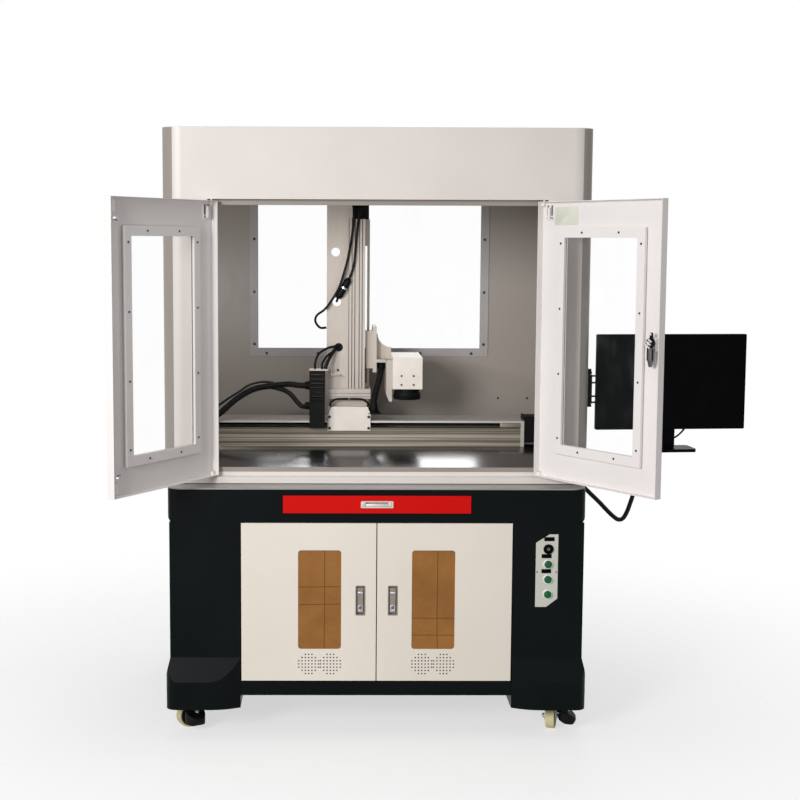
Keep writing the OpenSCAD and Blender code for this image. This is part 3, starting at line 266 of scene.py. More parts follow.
cordRoutes = {  # millimetres, as the solids' own lines
    "hoseA": [
        [-560, 170, 800], [-560, 170, 850], [-545, 170, 892], [-508, 170, 925], [-460, 170, 966],
        [-405, 170, 998], [-345, 170, 1011], [-285, 170, 1017], [-245, 170, 1013], [-212, 170, 1013],
    ],
    "hoseB": [
        [-356, 172, 1010], [-320, 171, 1003], [-280, 170, 986], [-240, 170, 943], [-212, 170, 943],
    ],
    "hoseC": [
        [-590, 185, 800], [-590, 185, 850], [-560, 185, 912], [-505, 185, 955], [-450, 185, 991],
        [-418, 185, 1012], [-375, 183, 1023], [-335, 178, 1022],
    ],
    "zMotorLead": [
        [-60, 236, 1622], [-60, 217, 1622], [-61, 200, 1600], [-64, 198, 1550], [-78, 199, 1462],
        [-95, 199, 1395], [-115, 199, 1338], [-155, 199, 1277], [-186, 199, 1252], [-192, 203, 1230],
        [-176, 218, 1208], [-154, 220, 1208],
    ],
    "brakeLead": [
        [-40, 236, 1622], [-40, 217, 1622], [-43, 200, 1600], [-53, 198, 1510], [-60, 199, 1430],
        [-76, 199, 1378], [-100, 199, 1338], [-115, 204, 1310], [-119, 216, 1298],
    ],
    "chainLeadA": [
        [-192, 168, 1070.3], [-192, 168, 1090], [-180, 178, 1120], [-150, 192, 1139], [-123, 202, 1145],
        [-113, 214, 1145], [-111, 226, 1145],
    ],
    "chainLeadB": [
        [-168, 168, 1070.3], [-168, 168, 1088], [-150, 184, 1114], [-126, 197, 1130], [-113, 210, 1136],
        [-110, 224, 1137],
    ],
    "chainLeadC": [
        [-158, 168, 1070.3], [-154, 169, 1082], [-142, 182, 1108], [-127, 200, 1130], [-118, 214, 1141],
        [-115, 226, 1143],
    ],
    "headConduit": [
        [36, 230, 1088.5], [36, 230, 1062], [28, 222, 1025], [17, 212, 985], [10, 205, 945],
        [10, 202, 912],
    ],
    "screenCable": [
        [631, -200, 735], [646, -200, 735], [671, -200, 723], [696, -200, 700], [722, -199, 675],
        [748, -198, 648], [768, -196, 629], [786, -193, 617], [802, -189, 621], [815, -184, 641],
        [826, -178, 668], [838, -170, 702], [848, -158, 745],
    ],
    "screenTail": [
        [848, -158, 745], [850, -150, 795], [846, -144, 845], [850, -141, 900], [850, -141, 935.7],
    ],
    "screenLead": [
        [1008, -127, 935.7], [1008, -127, 908], [988, -116, 880], [962, -112, 866], [935, -112, 860],
        [895, -120, 862], [852, -142, 868],
    ],
}

hoseSpan = ((-0.540, 0.170, 0.900), (-0.222, 0.170, 1.013))  # two points along the hoses' shared run

cordFacts = {
    "hoseA": {"width": 22, "ridge": 4.4, "from": "machine", "to": "x_axis", "points": 36, "span": hoseSpan},
    "hoseB": {"width": 18, "ridge": 4.0, "from": "machine", "to": "x_axis", "points": 16, "span": hoseSpan},
    "hoseC": {"width": 8, "from": "machine", "to": "x_axis", "points": 30, "span": hoseSpan},
    "zMotorLead": {"width": 8, "from": "x_axis", "points": 36},
    "brakeLead": {"width": 8, "from": "x_axis", "points": 30},
    "chainLeadA": {"width": 8, "from": "x_axis", "points": 20},
    "chainLeadB": {"width": 8, "from": "x_axis", "points": 20},
    "chainLeadC": {"width": 12, "from": "x_axis", "points": 20},
    "headConduit": {"width": 21, "ridge": 4.2, "from": "z_axis", "to": "x_axis", "points": 16},
    "screenCable": {"width": 14, "from": "machine", "to": "monitor_arm", "points": 38},
    "screenTail": {"width": 14, "from": "monitor_arm", "to": "monitor", "points": 18},
    "screenLead": {"width": 6, "from": "monitor", "points": 24},
}


def smoothRoute(points, count):  # one smooth line through the points, evenly spaced
    knots = [Vector(p) / 1000 for p in points]
    knots = [knots[0] * 2 - knots[1]] + knots + [knots[-1] * 2 - knots[-2]]
    fine = []
    for i in range(1, len(knots) - 2):
        a, b, c, d = knots[i - 1 : i + 3]
        for step in range(24):
            t = step / 24
            bend, twist = 2 * a - 5 * b + 4 * c - d, 3 * b - a - 3 * c + d
            fine.append(0.5 * (2 * b + (c - a) * t + bend * t * t + twist * t ** 3))
    fine.append(knots[-2])
    lengths = [0.0]
    for a, b in zip(fine, fine[1:]):
        lengths.append(lengths[-1] + (b - a).length)
    spaced, j = [], 0
    for i in range(count):
        want = lengths[-1] * i / (count - 1)
        while j < len(fine) - 2 and lengths[j + 1] < want:
            j += 1
        part = (want - lengths[j]) / max(lengths[j + 1] - lengths[j], 1e-9)
        spaced.append(fine[j].lerp(fine[j + 1], min(part, 1)))
    return spaced, lengths[-1]


def spotOf(vert):
    return tuple(round(c, 7) for c in vert.co)


def tubeAlong(line, radii, sides):  # one ring drawn along the line, a radius at each point
    mesh = bmesh.new()
    heading = (line[1] - line[0]).normalized()
    side = heading.orthogonal().normalized()
    ring = bmesh.ops.create_circle(mesh, segments=sides, radius=1.0)["verts"]
    ring = sorted(ring, key=lambda v: math.atan2(v.co.y, v.co.x))
    angles = [math.atan2(v.co.y, v.co.x) for v in ring]
    first = edges = list({e for v in ring for e in v.link_edges})
    for i, spot in enumerate(line):
        ahead = line[min(i + 1, len(line) - 1)] - line[max(i - 1, 0)]
        heading = ahead.normalized()
        side = (side - heading * side.dot(heading)).normalized()
        across = heading.cross(side)
        if i:
            grown = bmesh.ops.extrude_edge_only(mesh, edges=edges)["geom"]
            edges = [g for g in grown if isinstance(g, bmesh.types.BMEdge)]
            ring = [g for g in grown if isinstance(g, bmesh.types.BMVert)]
            ring.sort(key=lambda v: angleAt[spotOf(v)])  # a new ring lies on the old one
        for v, angle in zip(ring, angles):
            v.co = spot + (side * math.cos(angle) + across * math.sin(angle)) * radii[i]
        angleAt = {spotOf(v): angle for v, angle in zip(ring, angles)}
    bmesh.ops.holes_fill(mesh, edges=first + edges, sides=0)
    return mesh


def meshObject(mesh, name, material):
    data = bpy.data.meshes.new(name)
    mesh.to_mesh(data)
    mesh.free()
    data.materials.append(material)
    return stand(name, data)


# the mesh made a piece, of plain black plastic unless the call says otherwise
def closeUp(mesh, name, body, finish="blackPlastic", sharp=35, turn=None):
    if turn:
        bmesh.ops.transform(mesh, matrix=turn, verts=mesh.verts)
    bmesh.ops.recalc_face_normals(mesh, faces=mesh.faces)
    for edge in mesh.edges:
        if edge.is_manifold:
            edge.smooth = edge.calc_face_angle(0.0) < math.radians(sharp)
    for face in mesh.faces:
        face.smooth = True
    obj = meshObject(mesh, name, finishes[finish])
    if body:
        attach(obj, body)
    return obj


def addCord(name, node, finish):
    facts = cordFacts[name]
    line, length = smoothRoute(cordRoutes[name], facts["points"])
    radius = facts["width"] / 2000
    if "ridge" in facts:  # a corrugated hose
        turns = int(length * 1000 / facts["ridge"])
        fine = smoothRoute(cordRoutes[name], turns * 4 + 1)[0]
        radii = [radius * (0.86, 0.9, 1.0, 1.0)[i % 4] for i in range(len(fine))]
        mesh = tubeAlong(fine, radii, 20)
    else:
        fine = smoothRoute(cordRoutes[name], facts["points"] * 2)[0]
        mesh = tubeAlong(fine, [radius] * len(fine), 14)
    crossing = "to" in facts
    obj = closeUp(mesh, name, None if crossing else facts["from"], finish, 60)
    if crossing:
        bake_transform(obj)
    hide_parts(node)


# painted shade inside the hood: the box in which the inner faces are coloured darker, and their grey
hoodInnerShade = {
    "tone": (146, 138, 131), "halfWidth": 0.6485, "top": 1.8405, "low": 0.80, "front": -0.404,
    "back": nodeBox("hood_rear_panel")[1].y / 1000 - 0.0005,
}

recipes = {  # two tones, 0 to 255 as seen, how rough, and what differs from the usual
    enamel: {
        "blackEnamel": ((4, 8, 9), (8, 13, 15), 0.32, {"peel": 600, "shine": 0.07, "smear": 0.3}),
        "hoodEnamel": ((220, 213, 208), (212, 205, 199), 0.4, {"innerShade": hoodInnerShade}),
        "doorInside": ((233, 228, 226), (226, 221, 219), 0.42),
        "rearFrameEnamel": ((160, 156, 155), (150, 146, 145), 0.4),
        "creamEnamel": ((229, 221, 209), (223, 214, 201), 0.34),
        # painted shade: the deck is cream like the hood, coloured darker grey for the shade under the hood's
        # front
        "deckPaintedShade": ((152, 149, 144), (138, 135, 131), 0.3),
        "redEnamel": ((208, 8, 4), (194, 6, 3), 0.3, {"smear": 0.2, "shine": 0.14}),
        "plateEnamel": ((206, 206, 196), (198, 198, 188), 0.3),
    },
    brushed: {
        "greyMetal": ((184, 175, 166), (170, 161, 151), 0.42, {"grain": (400, 400, 30), "metal": 0.3}),
        "silverAnodised": ((202, 198, 192), (184, 180, 173), 0.34, {"grain": (12, 420, 420), "metal": 0.55}),
        "satinNickel": ((142, 134, 125), (128, 120, 110), 0.4, {"grain": (300, 300, 40), "metal": 0.5}),
        "zincSteel": ((190, 191, 192), (158, 160, 163), 0.26, {"grain": (160, 160, 160)}),
        "zincDark": ((122, 121, 126), (92, 92, 96), 0.32, {"grain": (120, 120, 60), "metal": 0.8}),
        "chromePart": ((214, 215, 217), (196, 198, 200), 0.12),
        "darkScrew": ((62, 62, 64), (40, 40, 42), 0.3, {"metal": 0.7}),
        "brightRing": ((236, 236, 236), (222, 223, 224), 0.22, {"metal": 0.5}),
    },
    moulded: {
        "hosePlastic": ((14, 14, 15), (22, 22, 24), 0.42, {"grain": 900, "shine": 0.18}),
        "leadSheath": ((13, 13, 14), (20, 20, 22), 0.5, {"grain": 700, "shine": 0.15}),
        "blackPlastic": ((7, 7, 8), (12, 12, 14), 0.46, {"shine": 0.12}),
        "blackGloss": ((2, 2, 3), (4, 5, 6), 0.25, {"depth": 0.00003, "shine": 0.03}),
        "blackMotor": ((7, 7, 9), (12, 12, 14), 0.5, {"grain": 700, "shine": 0.12}),
        "whiteNylon": ((232, 232, 230), (222, 222, 218), 0.32),
        "creamTread": ((216, 207, 160), (192, 181, 138), 0.5, {"grain": 500}),
        "greenButton": ((0, 92, 40), (0, 74, 32), 0.2, {"depth": 0.00003, "shine": 0.25}),
        "whiteMetal": ((222, 213, 205), (212, 203, 195), 0.36, {"grain": 620}),
        "clearTape": ((214, 214, 200), (206, 207, 192), 0.2, {"depth": 0.00004}),
        "lensGlass": ((20, 16, 30), (30, 22, 44), 0.04, {"depth": 0.000005, "shine": 0.8}),
    },
}
finishes = {
    name: kind(name, paint(*tone), paint(*shade), rough, **(extra[0] if extra else {}))
    for kind, rows in recipes.items()
    for name, (tone, shade, rough, *extra) in rows.items()
}
finishes["clearPane"] = clearPane()


maskPaper = {
    "tone": (158, 108, 56), "shade": (138, 92, 46), "seam": (92, 56, 28),
    "leftSeams": (0.464, 0.410), "rightSeams": (0.369, 0.316), "uprights": (-0.158, 0.185),
    "lineHalf": 0.0011,
}


def maskedAcrylic():  # kraft masking paper on acrylic, with its creases and cut lines
    f = Finish("maskedAcrylic", {"Metallic": 0.0, "Specular IOR Level": 0.14})
    fibre = f.noise(1.0, 4, 0.6, (900, 60, 160))
    cloud = f.noise(9, 5, 0.65)
    tone = f.mix(f.between(cloud, 0.3, 0.75), paint(*maskPaper["tone"]), paint(*maskPaper["shade"]))
    tone = f.mix(fibre * 0.35, tone, paint(128, 88, 46))
    right = f.x > 0.0
    wander = (f.noise(5, 2) - 0.5) * 0.006
    half = maskPaper["lineHalf"]
    lines = f.larger(*(f.band(f.x + wander, x, half) for x in maskPaper["uprights"]))
    for seams, pane in ((maskPaper["leftSeams"], 1 - right), (maskPaper["rightSeams"], right)):
        for height in seams:
            lines = f.larger(lines, f.band(f.z + wander, height, half) * pane)
    tone = f.mix(lines * 0.9, tone, paint(*maskPaper["seam"]))
    relief = f.bump(fibre * 0.4 + lines, 0.0002, 0.5)
    return f.feed(Base_Color=tone, Roughness=fibre * 0.1 + 0.5, Normal=relief)


def tableSteel():  # blackened steel plate under a thin film of oil, ground along X
    f = Finish("tableSteel", {"Metallic": 0.0, "Specular IOR Level": 1.0, "IOR": 1.9})
    scratch = f.noise(1.0, 2, 0.5, (1.4, 230, 230))
    cloud = f.noise(5, 5, 0.65)
    wear = f.between(f.noise(26, 5, 0.7), 0.6, 0.75)
    tone = f.mix(cloud, paint(6, 7, 10), paint(13, 14, 18))
    tone = f.mix(wear * 0.3, tone, paint(34, 36, 42))
    rough = f.between(cloud, 0.35, 0.7) * 0.06 + wear * 0.08 + 0.19
    # shading only: the plate is flat, and the lean brings the rear window into its reflection
    lean = f.bump(f.y * 0.19, 1.0)
    return f.feed(Base_Color=tone, Roughness=rough, Normal=f.bump(scratch, 0.00008, 0.8, lean))


channelSlotShade = {"fade": (0.864, 0.8648), "left": -0.53, "right": 0.508}  # painted shade: the channel's inside, under the cover, coloured near black


def channelAluminium():  # extruded channel with drawn lines along its length
    f = Finish("channelAluminium", {"Specular IOR Level": 0.5})
    drawn = f.noise(1.0, 3, 0.55, (0.6, 60, 130))
    grain = f.noise(1.0, 2, 0.6, (8, 500, 500))
    tone = f.mix(f.between(drawn, 0.4, 0.6), paint(172, 163, 149), paint(102, 93, 80))
    tone = f.mix(grain * 0.3, tone, paint(150, 142, 128))
    slot = channelSlotShade
    # painted shade: inside the slot the aluminium is coloured near black and not metallic
    inside = f.between(f.z, *slot["fade"]) * (f.x < slot["right"]) * (f.x > slot["left"])
    tone = f.mix(inside * 0.96, tone, paint(10, 10, 11))
    return f.feed(
        Base_Color=tone, Roughness=grain * 0.14 + 0.3, Metallic=0.45 - inside * 0.45,
        Normal=f.bump(drawn * 0.6 + grain * 0.4, 0.0001, 0.4, f.softEdge(0.0008)),
    )


finishes["tableSteel"] = tableSteel()
finishes["channelAluminium"] = channelAluminium()
finishes["maskedAcrylic"] = maskedAcrylic()

addCamera()
addLamps()
cordNodes = {
    "carriage_cables": (
        "hoseA", "hoseB", "hoseC", "zMotorLead", "brakeLead", "chainLeadA", "chainLeadB", "chainLeadC",
    ),
    "head_conduit": ("headConduit",),
    "monitor_cable": ("screenCable", "screenTail", "screenLead"),
}
for nodeName, cordNames in cordNodes.items():
    for cordName in cordNames:
        soft = cordName.startswith(("hose", "head"))
        addCord(cordName, nodeName, "hosePlastic" if soft else "leadSheath")
print("cords laid")

nodeFinish = {
    "blackEnamel": ["left_pedestal", "right_pedestal", "top_box", "cabinet_shell"],
    "hoodEnamel": ["hood_shell", "hood_rear_panel"],
    "deckPaintedShade": ["deck_plate"],
    "doorInside": ["left_hood_door", "left_hood_frame", "right_hood_door", "right_hood_frame"],
    "rearFrameEnamel": ["rear_window_frame"],
    "creamEnamel": ["left_cabinet_door", "right_cabinet_door"],
    "plateEnamel": ["control_plate"],
    "redEnamel": ["drawer"],
    "greyMetal": ["column", "head_bracket", "laser_source"],
    "silverAnodised": ["module_cover", "drawer_handle", "switch_bodies"],
    "whiteMetal": ["scan_head", "x_carriage"],
    "tableSteel": ["worktable"],
    "channelAluminium": ["module_body"],
    "zincSteel": [
        "castor_mounts", "left_castor_fork", "right_castor_fork",
        "upper_door_bolt", "lower_door_bolt", "door_latch",
    ],
    "satinNickel": ["left_door_lever", "right_door_lever"],
    "zincDark": ["key_plug"],
    "clearPane": ["rear_window_pane", "left_hood_pane", "right_hood_pane"],
    "maskedAcrylic": ["left_cabinet_pane", "right_cabinet_pane"],
    "blackPlastic": ["cable_chain", "scan_lens", "left_brake_pedal", "right_brake_pedal", "computer"],
    "blackMotor": ["x_motor", "z_motor", "arm_wall_plate", "monitor_arm"],
    "blackGloss": ["monitor"],
    "creamTread": ["front_left_wheel", "front_right_wheel", "rear_left_wheel", "rear_right_wheel"],
    "greenButton": ["upper_button", "middle_button", "lower_button"],
}
for finishName, nodeNames in nodeFinish.items():
    for nodeName in nodeNames:
        obj = frame["nodes"][nodeName]
        obj.data.materials.clear()
        obj.data.materials.append(finishes[finishName])
print("finishes on the frame")


def placeAt(place, toward):  # the same, with the place in millimetres
    return aimed(Vector(place) / 1000, toward)


def newVerts(mesh, old):
    return [v for v in mesh.verts if v not in old]


def newEdges(mesh, old):
    return [e for e in mesh.edges if e.verts[0] not in old and e.verts[1] not in old]


def softenEdges(mesh, edges, radius, steps):
    if radius > 0 and edges:
        bmesh.ops.bevel(mesh, geom=edges, offset=radius / 1000, segments=steps, profile=0.5,
                        affect="EDGES", material=-1, clamp_overlap=True)


# a block with eased edges, in millimetres, its edges along one axis rounded to corner
def slab(mesh, low, high, soft, along=None, corner=0.0, turn=None):
    old = set(mesh.verts)
    low, high = Vector(low) / 1000, Vector(high) / 1000
    size = Matrix.Diagonal((*(high - low), 1))
    bmesh.ops.create_cube(mesh, size=1, matrix=Matrix.Translation((low + high) / 2) @ size)
    if along is not None:
        ways = {e: (e.verts[0].co - e.verts[1].co).normalized() for e in newEdges(mesh, old)}
        softenEdges(mesh, [e for e, way in ways.items() if abs(way[along]) > 0.9], corner, 6)
    sharp = [e for e in newEdges(mesh, old) if e.calc_face_angle(0) > 0.6]
    softenEdges(mesh, sharp, soft, 2)
    if turn:
        bmesh.ops.transform(mesh, matrix=turn, verts=newVerts(mesh, old))


def drum(mesh, place, toward, radius, length, soft, sides, bore=0.0, deep=0.0):
    old = set(mesh.verts)
    bmesh.ops.create_cone(
        mesh, cap_ends=True, segments=sides, radius1=radius / 1000, radius2=radius / 1000,
        depth=length / 1000, matrix=placeAt(place, toward) @ Matrix.Translation((0, 0, length / 2000)),
    )
    caps = [f for f in mesh.faces if len(f.verts) == sides and f.verts[0] not in old]
    far = max(caps, key=lambda f: (f.calc_center_median() - Vector(place) / 1000).length)
    rims = [e for f in caps for e in f.edges]
    if bore:
        bmesh.ops.inset_individual(mesh, faces=[far], thickness=(radius - bore) / 1000, depth=0)
        bmesh.ops.inset_individual(mesh, faces=[far], thickness=0.00005, depth=-deep / 1000)
    softenEdges(mesh, [e for e in rims if e.is_valid], soft, 2)


def capScrews(mesh, places, toward, radius, height):  # button heads with their sockets
    for place in places:
        drum(mesh, place, toward, radius, height, height * 0.55, 20, bore=radius * 0.45, deep=height * 0.6)


def grid(xs, y, zs):
    return [(x, y, z) for x in xs for z in zs]


def spun(mesh, outline, place, toward, sides=40):  # outline of (radius, height), turned round toward
    old = set(mesh.verts)
    points = [mesh.verts.new((rad / 1000, 0, high / 1000)) for rad, high in outline]
    edges = [mesh.edges.new(pair) for pair in zip(points, points[1:])]
    bmesh.ops.spin(mesh, geom=points + edges, cent=(0, 0, 0), axis=(0, 0, 1), dvec=(0, 0, 0),
                   angle=2 * math.pi, steps=sides, use_merge=True)
    bmesh.ops.remove_doubles(mesh, verts=newVerts(mesh, old), dist=1e-6)
    bmesh.ops.transform(mesh, matrix=placeAt(place, toward), verts=newVerts(mesh, old))


def spunRing(mesh, outline, place, toward, sides=40):  # the same, with its outline closed
    spun(mesh, outline + outline[:1], place, toward, sides)


def cutPlate(mesh, points, thick, matrix, soft):  # a flat outline in its own XY, made thick along Z
    old = set(mesh.verts)
    face = mesh.faces.new([mesh.verts.new((x / 1000, y / 1000, 0)) for x, y in points])
    grown = bmesh.ops.extrude_face_region(mesh, geom=[face])["geom"]
    moved = [g for g in grown if isinstance(g, bmesh.types.BMVert)]
    bmesh.ops.translate(mesh, verts=moved, vec=(0, 0, thick / 1000))
    bmesh.ops.recalc_face_normals(mesh, faces=[f for f in mesh.faces if f.verts[0] not in old])
    softenEdges(mesh, [e for e in newEdges(mesh, old) if e.calc_face_angle(0) > 0.6], soft, 2)
    bmesh.ops.transform(mesh, matrix=matrix, verts=newVerts(mesh, old))


# the hood doors' fittings are made on a shut right door, and then turned and mirrored
hoodDoor = {
    "skin": -408, "frameFace": -396, "endScrewInset": 14.5,
    "screwXs": (85.7, 412.8), "screwZs": (919, 1112, 1306, 1499), "endXs": (174, 324),
    "bracketX": (457, 487), "bracketZ": (1567, 1610), "tapeX": (353, 453), "tapeZ": (1553, 1606),
}


def hoodDoorTurn(side):
    joint = jointOf[side + "_hood_door_hinge"]
    x, y, _ = joint["pos_m"]
    angle = math.radians(joint["range_deg"][1])  # from open, as at rest, to shut
    pin = Matrix.Translation((abs(x), y, 0))
    turned = pin @ Matrix.Rotation(angle, 4, "Z") @ pin.inverted()
    return Matrix.Diagonal((-1, 1, 1, 1)) @ turned if side == "left" else turned


def addHoodDoorFittings(side):
    facts = hoodDoor
    turn = hoodDoorTurn(side)
    low, high = nodeBox(side + "_hood_frame")
    body = side + "_hood_door"
    name = side + "Hood"

    mesh = bmesh.new()
    ends = low.z + facts["endScrewInset"], high.z - facts["endScrewInset"]
    places = grid(facts["screwXs"], facts["frameFace"], facts["screwZs"])
    places += grid(facts["endXs"], facts["frameFace"], ends)
    capScrews(mesh, places, rearward, 3.4, 1.8)
    closeUp(mesh, name + "FrameScrews", body, "darkScrew", turn=turn)

    mesh = bmesh.new()
    x0, x1 = facts["bracketX"]
    z0, z1 = facts["bracketZ"]
    middle = (x0 + x1) / 2
    slab(mesh, (x0, facts["skin"], z0), (x1, facts["skin"] + 3, z1), 0.5, 1, 3)
    drum(mesh, (middle, facts["skin"] + 7, z0 + 4), upward, 4.6, z1 - z0 - 8, 1.0, 24)
    closeUp(mesh, name + "HingeBracket", body, "doorInside", turn=turn)

    mesh = bmesh.new()
    for x in (x0 + 6, x1 - 6):
        slab(mesh, (x - 2.4, facts["skin"] + 3, z0 + 14), (x + 2.4, facts["skin"] + 4.4, z1 + 2), 0.5, 1, 1.5)
    capScrews(mesh, grid((middle - 9, middle + 9), facts["skin"] + 3, (z0 + 7,)), rearward, 2.8, 1.6)
    closeUp(mesh, name + "HingeSlots", body, "darkScrew", turn=turn)

    if side == "right":
        mesh = bmesh.new()
        x0, x1 = facts["tapeX"]
        z0, z1 = facts["tapeZ"]
        slab(mesh, (x0, facts["skin"], z0), (x1, facts["skin"] + 0.4, z1), 0.1, 1, 1.5)
        closeUp(mesh, name + "TapePatch", body, "clearTape", turn=turn)


slideBolt = {"x": 14, "y": -398, "collar": 6.2, "collarLength": 11, "knob": 53, "knobLength": 9}


def addSlideBoltParts():
    turn = hoodDoorTurn("left")
    low, high = nodeBox("left_hood_door")
    facts = slideBolt
    x, y = facts["x"], facts["y"]
    for name, z, way in (("upper", high.z - 1.5, -1), ("lower", low.z + 1.5, 1)):
        mesh = bmesh.new()
        drum(mesh, (x, y, z), (0, 0, way), facts["collar"], facts["collarLength"], 1.2, 24)
        closeUp(mesh, name + "BoltCollar", "left_hood_door", "whiteNylon", turn=turn)

        mesh = bmesh.new()
        knob = z + way * facts["knob"]
        drum(mesh, (x, y, knob), (0, 0, way), facts["collar"], facts["knobLength"], 1.2, 24)
        drum(mesh, (x, y + 4, knob + way * 4.5), rearward, 3.6, 14, 1.2, 24)
        closeUp(mesh, name + "BoltKnob", name + "_bolt", "whiteNylon", turn=turn)

        mesh = bmesh.new()
        drum(mesh, (x, y + 2, knob + way * 6), (0.9, 0.3, way * 0.25), 1.6, 20, 0.5, 16)
        closeUp(mesh, name + "BoltWire", name + "_bolt", "zincDark", turn=turn)


latchParts = {"x": 27.5, "z": 1226, "back": -387.4}


def addLatchParts():
    turn = hoodDoorTurn("right")
    x, z, y = latchParts["x"], latchParts["z"], latchParts["back"]
    mesh = bmesh.new()
    drum(mesh, (x, y + 3, z), rearward, 14.5, 7, 1.2, 40)
    slab(mesh, (x - 8, y + 3, z + 4), (x + 3, y + 7, z + 30), 0.8, 1, 3.5)
    for edge in (-1, 1):
        slab(mesh, (x + edge * 10 - 2, y + 5.6, z - 48), (x + edge * 10 + 2, y + 7.4, z - 14), 0.6, 1, 1.6)
    closeUp(mesh, "latchBody", "latch", "blackMotor", turn=turn)

    mesh = bmesh.new()
    lean = Matrix.Translation((x / 1000, 0, z / 1000)) @ Matrix.Rotation(math.radians(-32), 4, "Y")
    back = Matrix.Translation((-x / 1000, 0, -z / 1000))
    for k in range(3):
        low, high = (x - 11 + k * 2, y + 10, z - 11.5 + k * 9), (x + 12 - k * 2, y + 15, z - 7 + k * 9)
        slab(mesh, low, high, 1.3, 1, 2, turn=lean @ back)
    drum(mesh, (x - 3, y + 7, z + 25), rearward, 3.4, 5, 1.0, 20)
    drum(mesh, (x, y + 10, z), rearward, 5.0, 7, 1.2, 6)
    closeUp(mesh, "latchNut", "latch", "brightRing", turn=turn)

    mesh = bmesh.new()
    face = placeAt((x, y + 3.2, z), rearward)
    tongue = [(-10, 8), (10, 8), (13, -12), (12, -46), (5, -66), (-5, -66), (-11, -48), (-13, -14)]
    cutPlate(mesh, tongue, 2.6, face, 0.8)
    slab(mesh, (x - 7, y + 5.4, z - 50), (x + 7, y + 8.6, z - 12), 1.2, 1, 5)
    closeUp(mesh, "latchTongue", "latch", "zincDark", turn=turn)


for side in ("left", "right"):
    addHoodDoorFittings(side)
addSlideBoltParts()
addLatchParts()
print("hood doors fitted")

rearWindow = {
    "sideX": 414, "sideZs": (1134, 1322, 1511, 1700), "endXs": (-370, -185, 0, 185, 370),
    "lowZ": 1101, "topInset": 20,
}


def addRearWindowBolts():
    low, high = nodeBox("rear_window_frame")
    mesh = bmesh.new()
    places = grid((-rearWindow["sideX"], rearWindow["sideX"]), low.y, rearWindow["sideZs"])
    places += grid(rearWindow["endXs"], low.y, (rearWindow["lowZ"], high.z - rearWindow["topInset"]))
    capScrews(mesh, places, forward, 5.0, 2.6)
    closeUp(mesh, "rearWindowBolts", "machine", "darkScrew")


addRearWindowBolts()

cabinetLock = {"x": 49, "z": 423, "wide": 26, "tall": 88, "deep": 12, "rim": 2.0}


def addCabinetLock(side):
    facts = cabinetLock
    front = nodeBox("left_cabinet_door")[0].y
    x, z, w, h = facts["x"], facts["z"], facts["wide"] / 2, facts["tall"] / 2
    flip = Matrix.Diagonal((-1, 1, 1, 1)) if side == "left" else None
    mesh = bmesh.new()
    rim = facts["rim"]
    slab(mesh, (x - w - rim, front - 1.2, z - h - rim), (x + w + rim, front, z + h + rim), 0.0, 1, 3.2)
    faces = [f for f in mesh.faces if len(f.verts) > 8]
    bmesh.ops.inset_individual(mesh, faces=faces, thickness=(rim + 0.8) / 1000, depth=0)
    loops = [e for f in faces for e in f.edges]
    bmesh.ops.delete(mesh, geom=faces, context="FACES_ONLY")
    bmesh.ops.bridge_loops(mesh, edges=loops)
    softenEdges(mesh, [e for e in mesh.edges if e.calc_face_angle(0) > 1.2], 0.35, 2)
    old = set(mesh.verts)
    w, h, back = w - 0.3, h - 0.3, front + facts["deep"] + 0.8
    slab(mesh, (x - w, front + 0.2, z - h), (x + w, back, z + h), 0.0, 1, 2.4)
    faces = [f for f in mesh.faces if len(f.verts) > 8 and f.verts[0] not in old]
    face = min(faces, key=lambda f: f.calc_center_median().y)
    bmesh.ops.inset_individual(mesh, faces=[face], thickness=0.0007, depth=0)
    bmesh.ops.inset_individual(mesh, faces=[face], thickness=0.0002, depth=-facts["deep"] / 1000)
    closeUp(mesh, side + "LockCup", side + "_cabinet_door", "satinNickel", turn=flip)

    # painted highlights: the chrome bars at the lever's top and bottom stand in for its highlights; the ring
    # round the lock is chrome
    mesh = bmesh.new()
    slab(mesh, (x - 8, front + 1.4, z + 21), (x + 8, front + 3.4, z + 26), 0.9)
    drum(mesh, (x, front + 3.2, z - 22), forward, 8.0, 1.6, 0.5, 30, bore=6.2, deep=1.2)
    slab(mesh, (x - 8, front + 1.6, z - 34), (x + 8, front + 3.2, z - 31), 0.8)
    closeUp(mesh, side + "LeverRingAndHighlights", side + "_lever", "chromePart", turn=flip)
    mesh = bmesh.new()
    drum(mesh, (x, front + 3.4, z - 22), forward, 5.8, 1.4, 0.5, 26)
    slab(mesh, (x - 1, front + 1.7, z - 26), (x + 1, front + 2.1, z - 18), 0.1)
    closeUp(mesh, side + "LockPlug", side + "_lever", "zincDark", turn=flip)


def addVentShadeSheet(side):  # painted shade: a black sheet inside the door, behind the vent holes, for the shade inside the cabinet
    low, high = nodeBox(side + "_cabinet_pane")
    front = nodeBox(side + "_cabinet_door")[0].y
    mesh = bmesh.new()
    slab(mesh, (low.x + 8, front + 2.05, low.z - 78), (high.x - 8, front + 3.6, low.z - 1), 0.4, 1, 4)
    closeUp(mesh, side + "VentShadeSheet", side + "_cabinet_door")


for side in ("left", "right"):
    addCabinetLock(side)
    addVentShadeSheet(side)

drawerPull = {"endIn": 34, "endOut": 45.5}


def addDrawerPullParts():
    low, high = nodeBox("drawer_handle")
    mesh = bmesh.new()
    for way in (-1, 1):
        a, b = sorted((way * drawerPull["endIn"], way * drawerPull["endOut"]))
        slab(mesh, (a, low.y + 0.6, low.z + 3), (b, low.y + 3.2, high.z - 3), 0.6, 1, 2)
        capScrews(mesh, [(way * 40.5, low.y + 0.7, (low.z + high.z) / 2)], forward, 2.8, 0.8)
    half = drawerPull["endIn"] - 0.4
    slab(mesh, (-half, low.y + 2.4, low.z + 3), (half, low.y + 4, high.z - 9), 0.6)
    closeUp(mesh, "drawerPullParts", "drawer", "silverAnodised")


addDrawerPullParts()

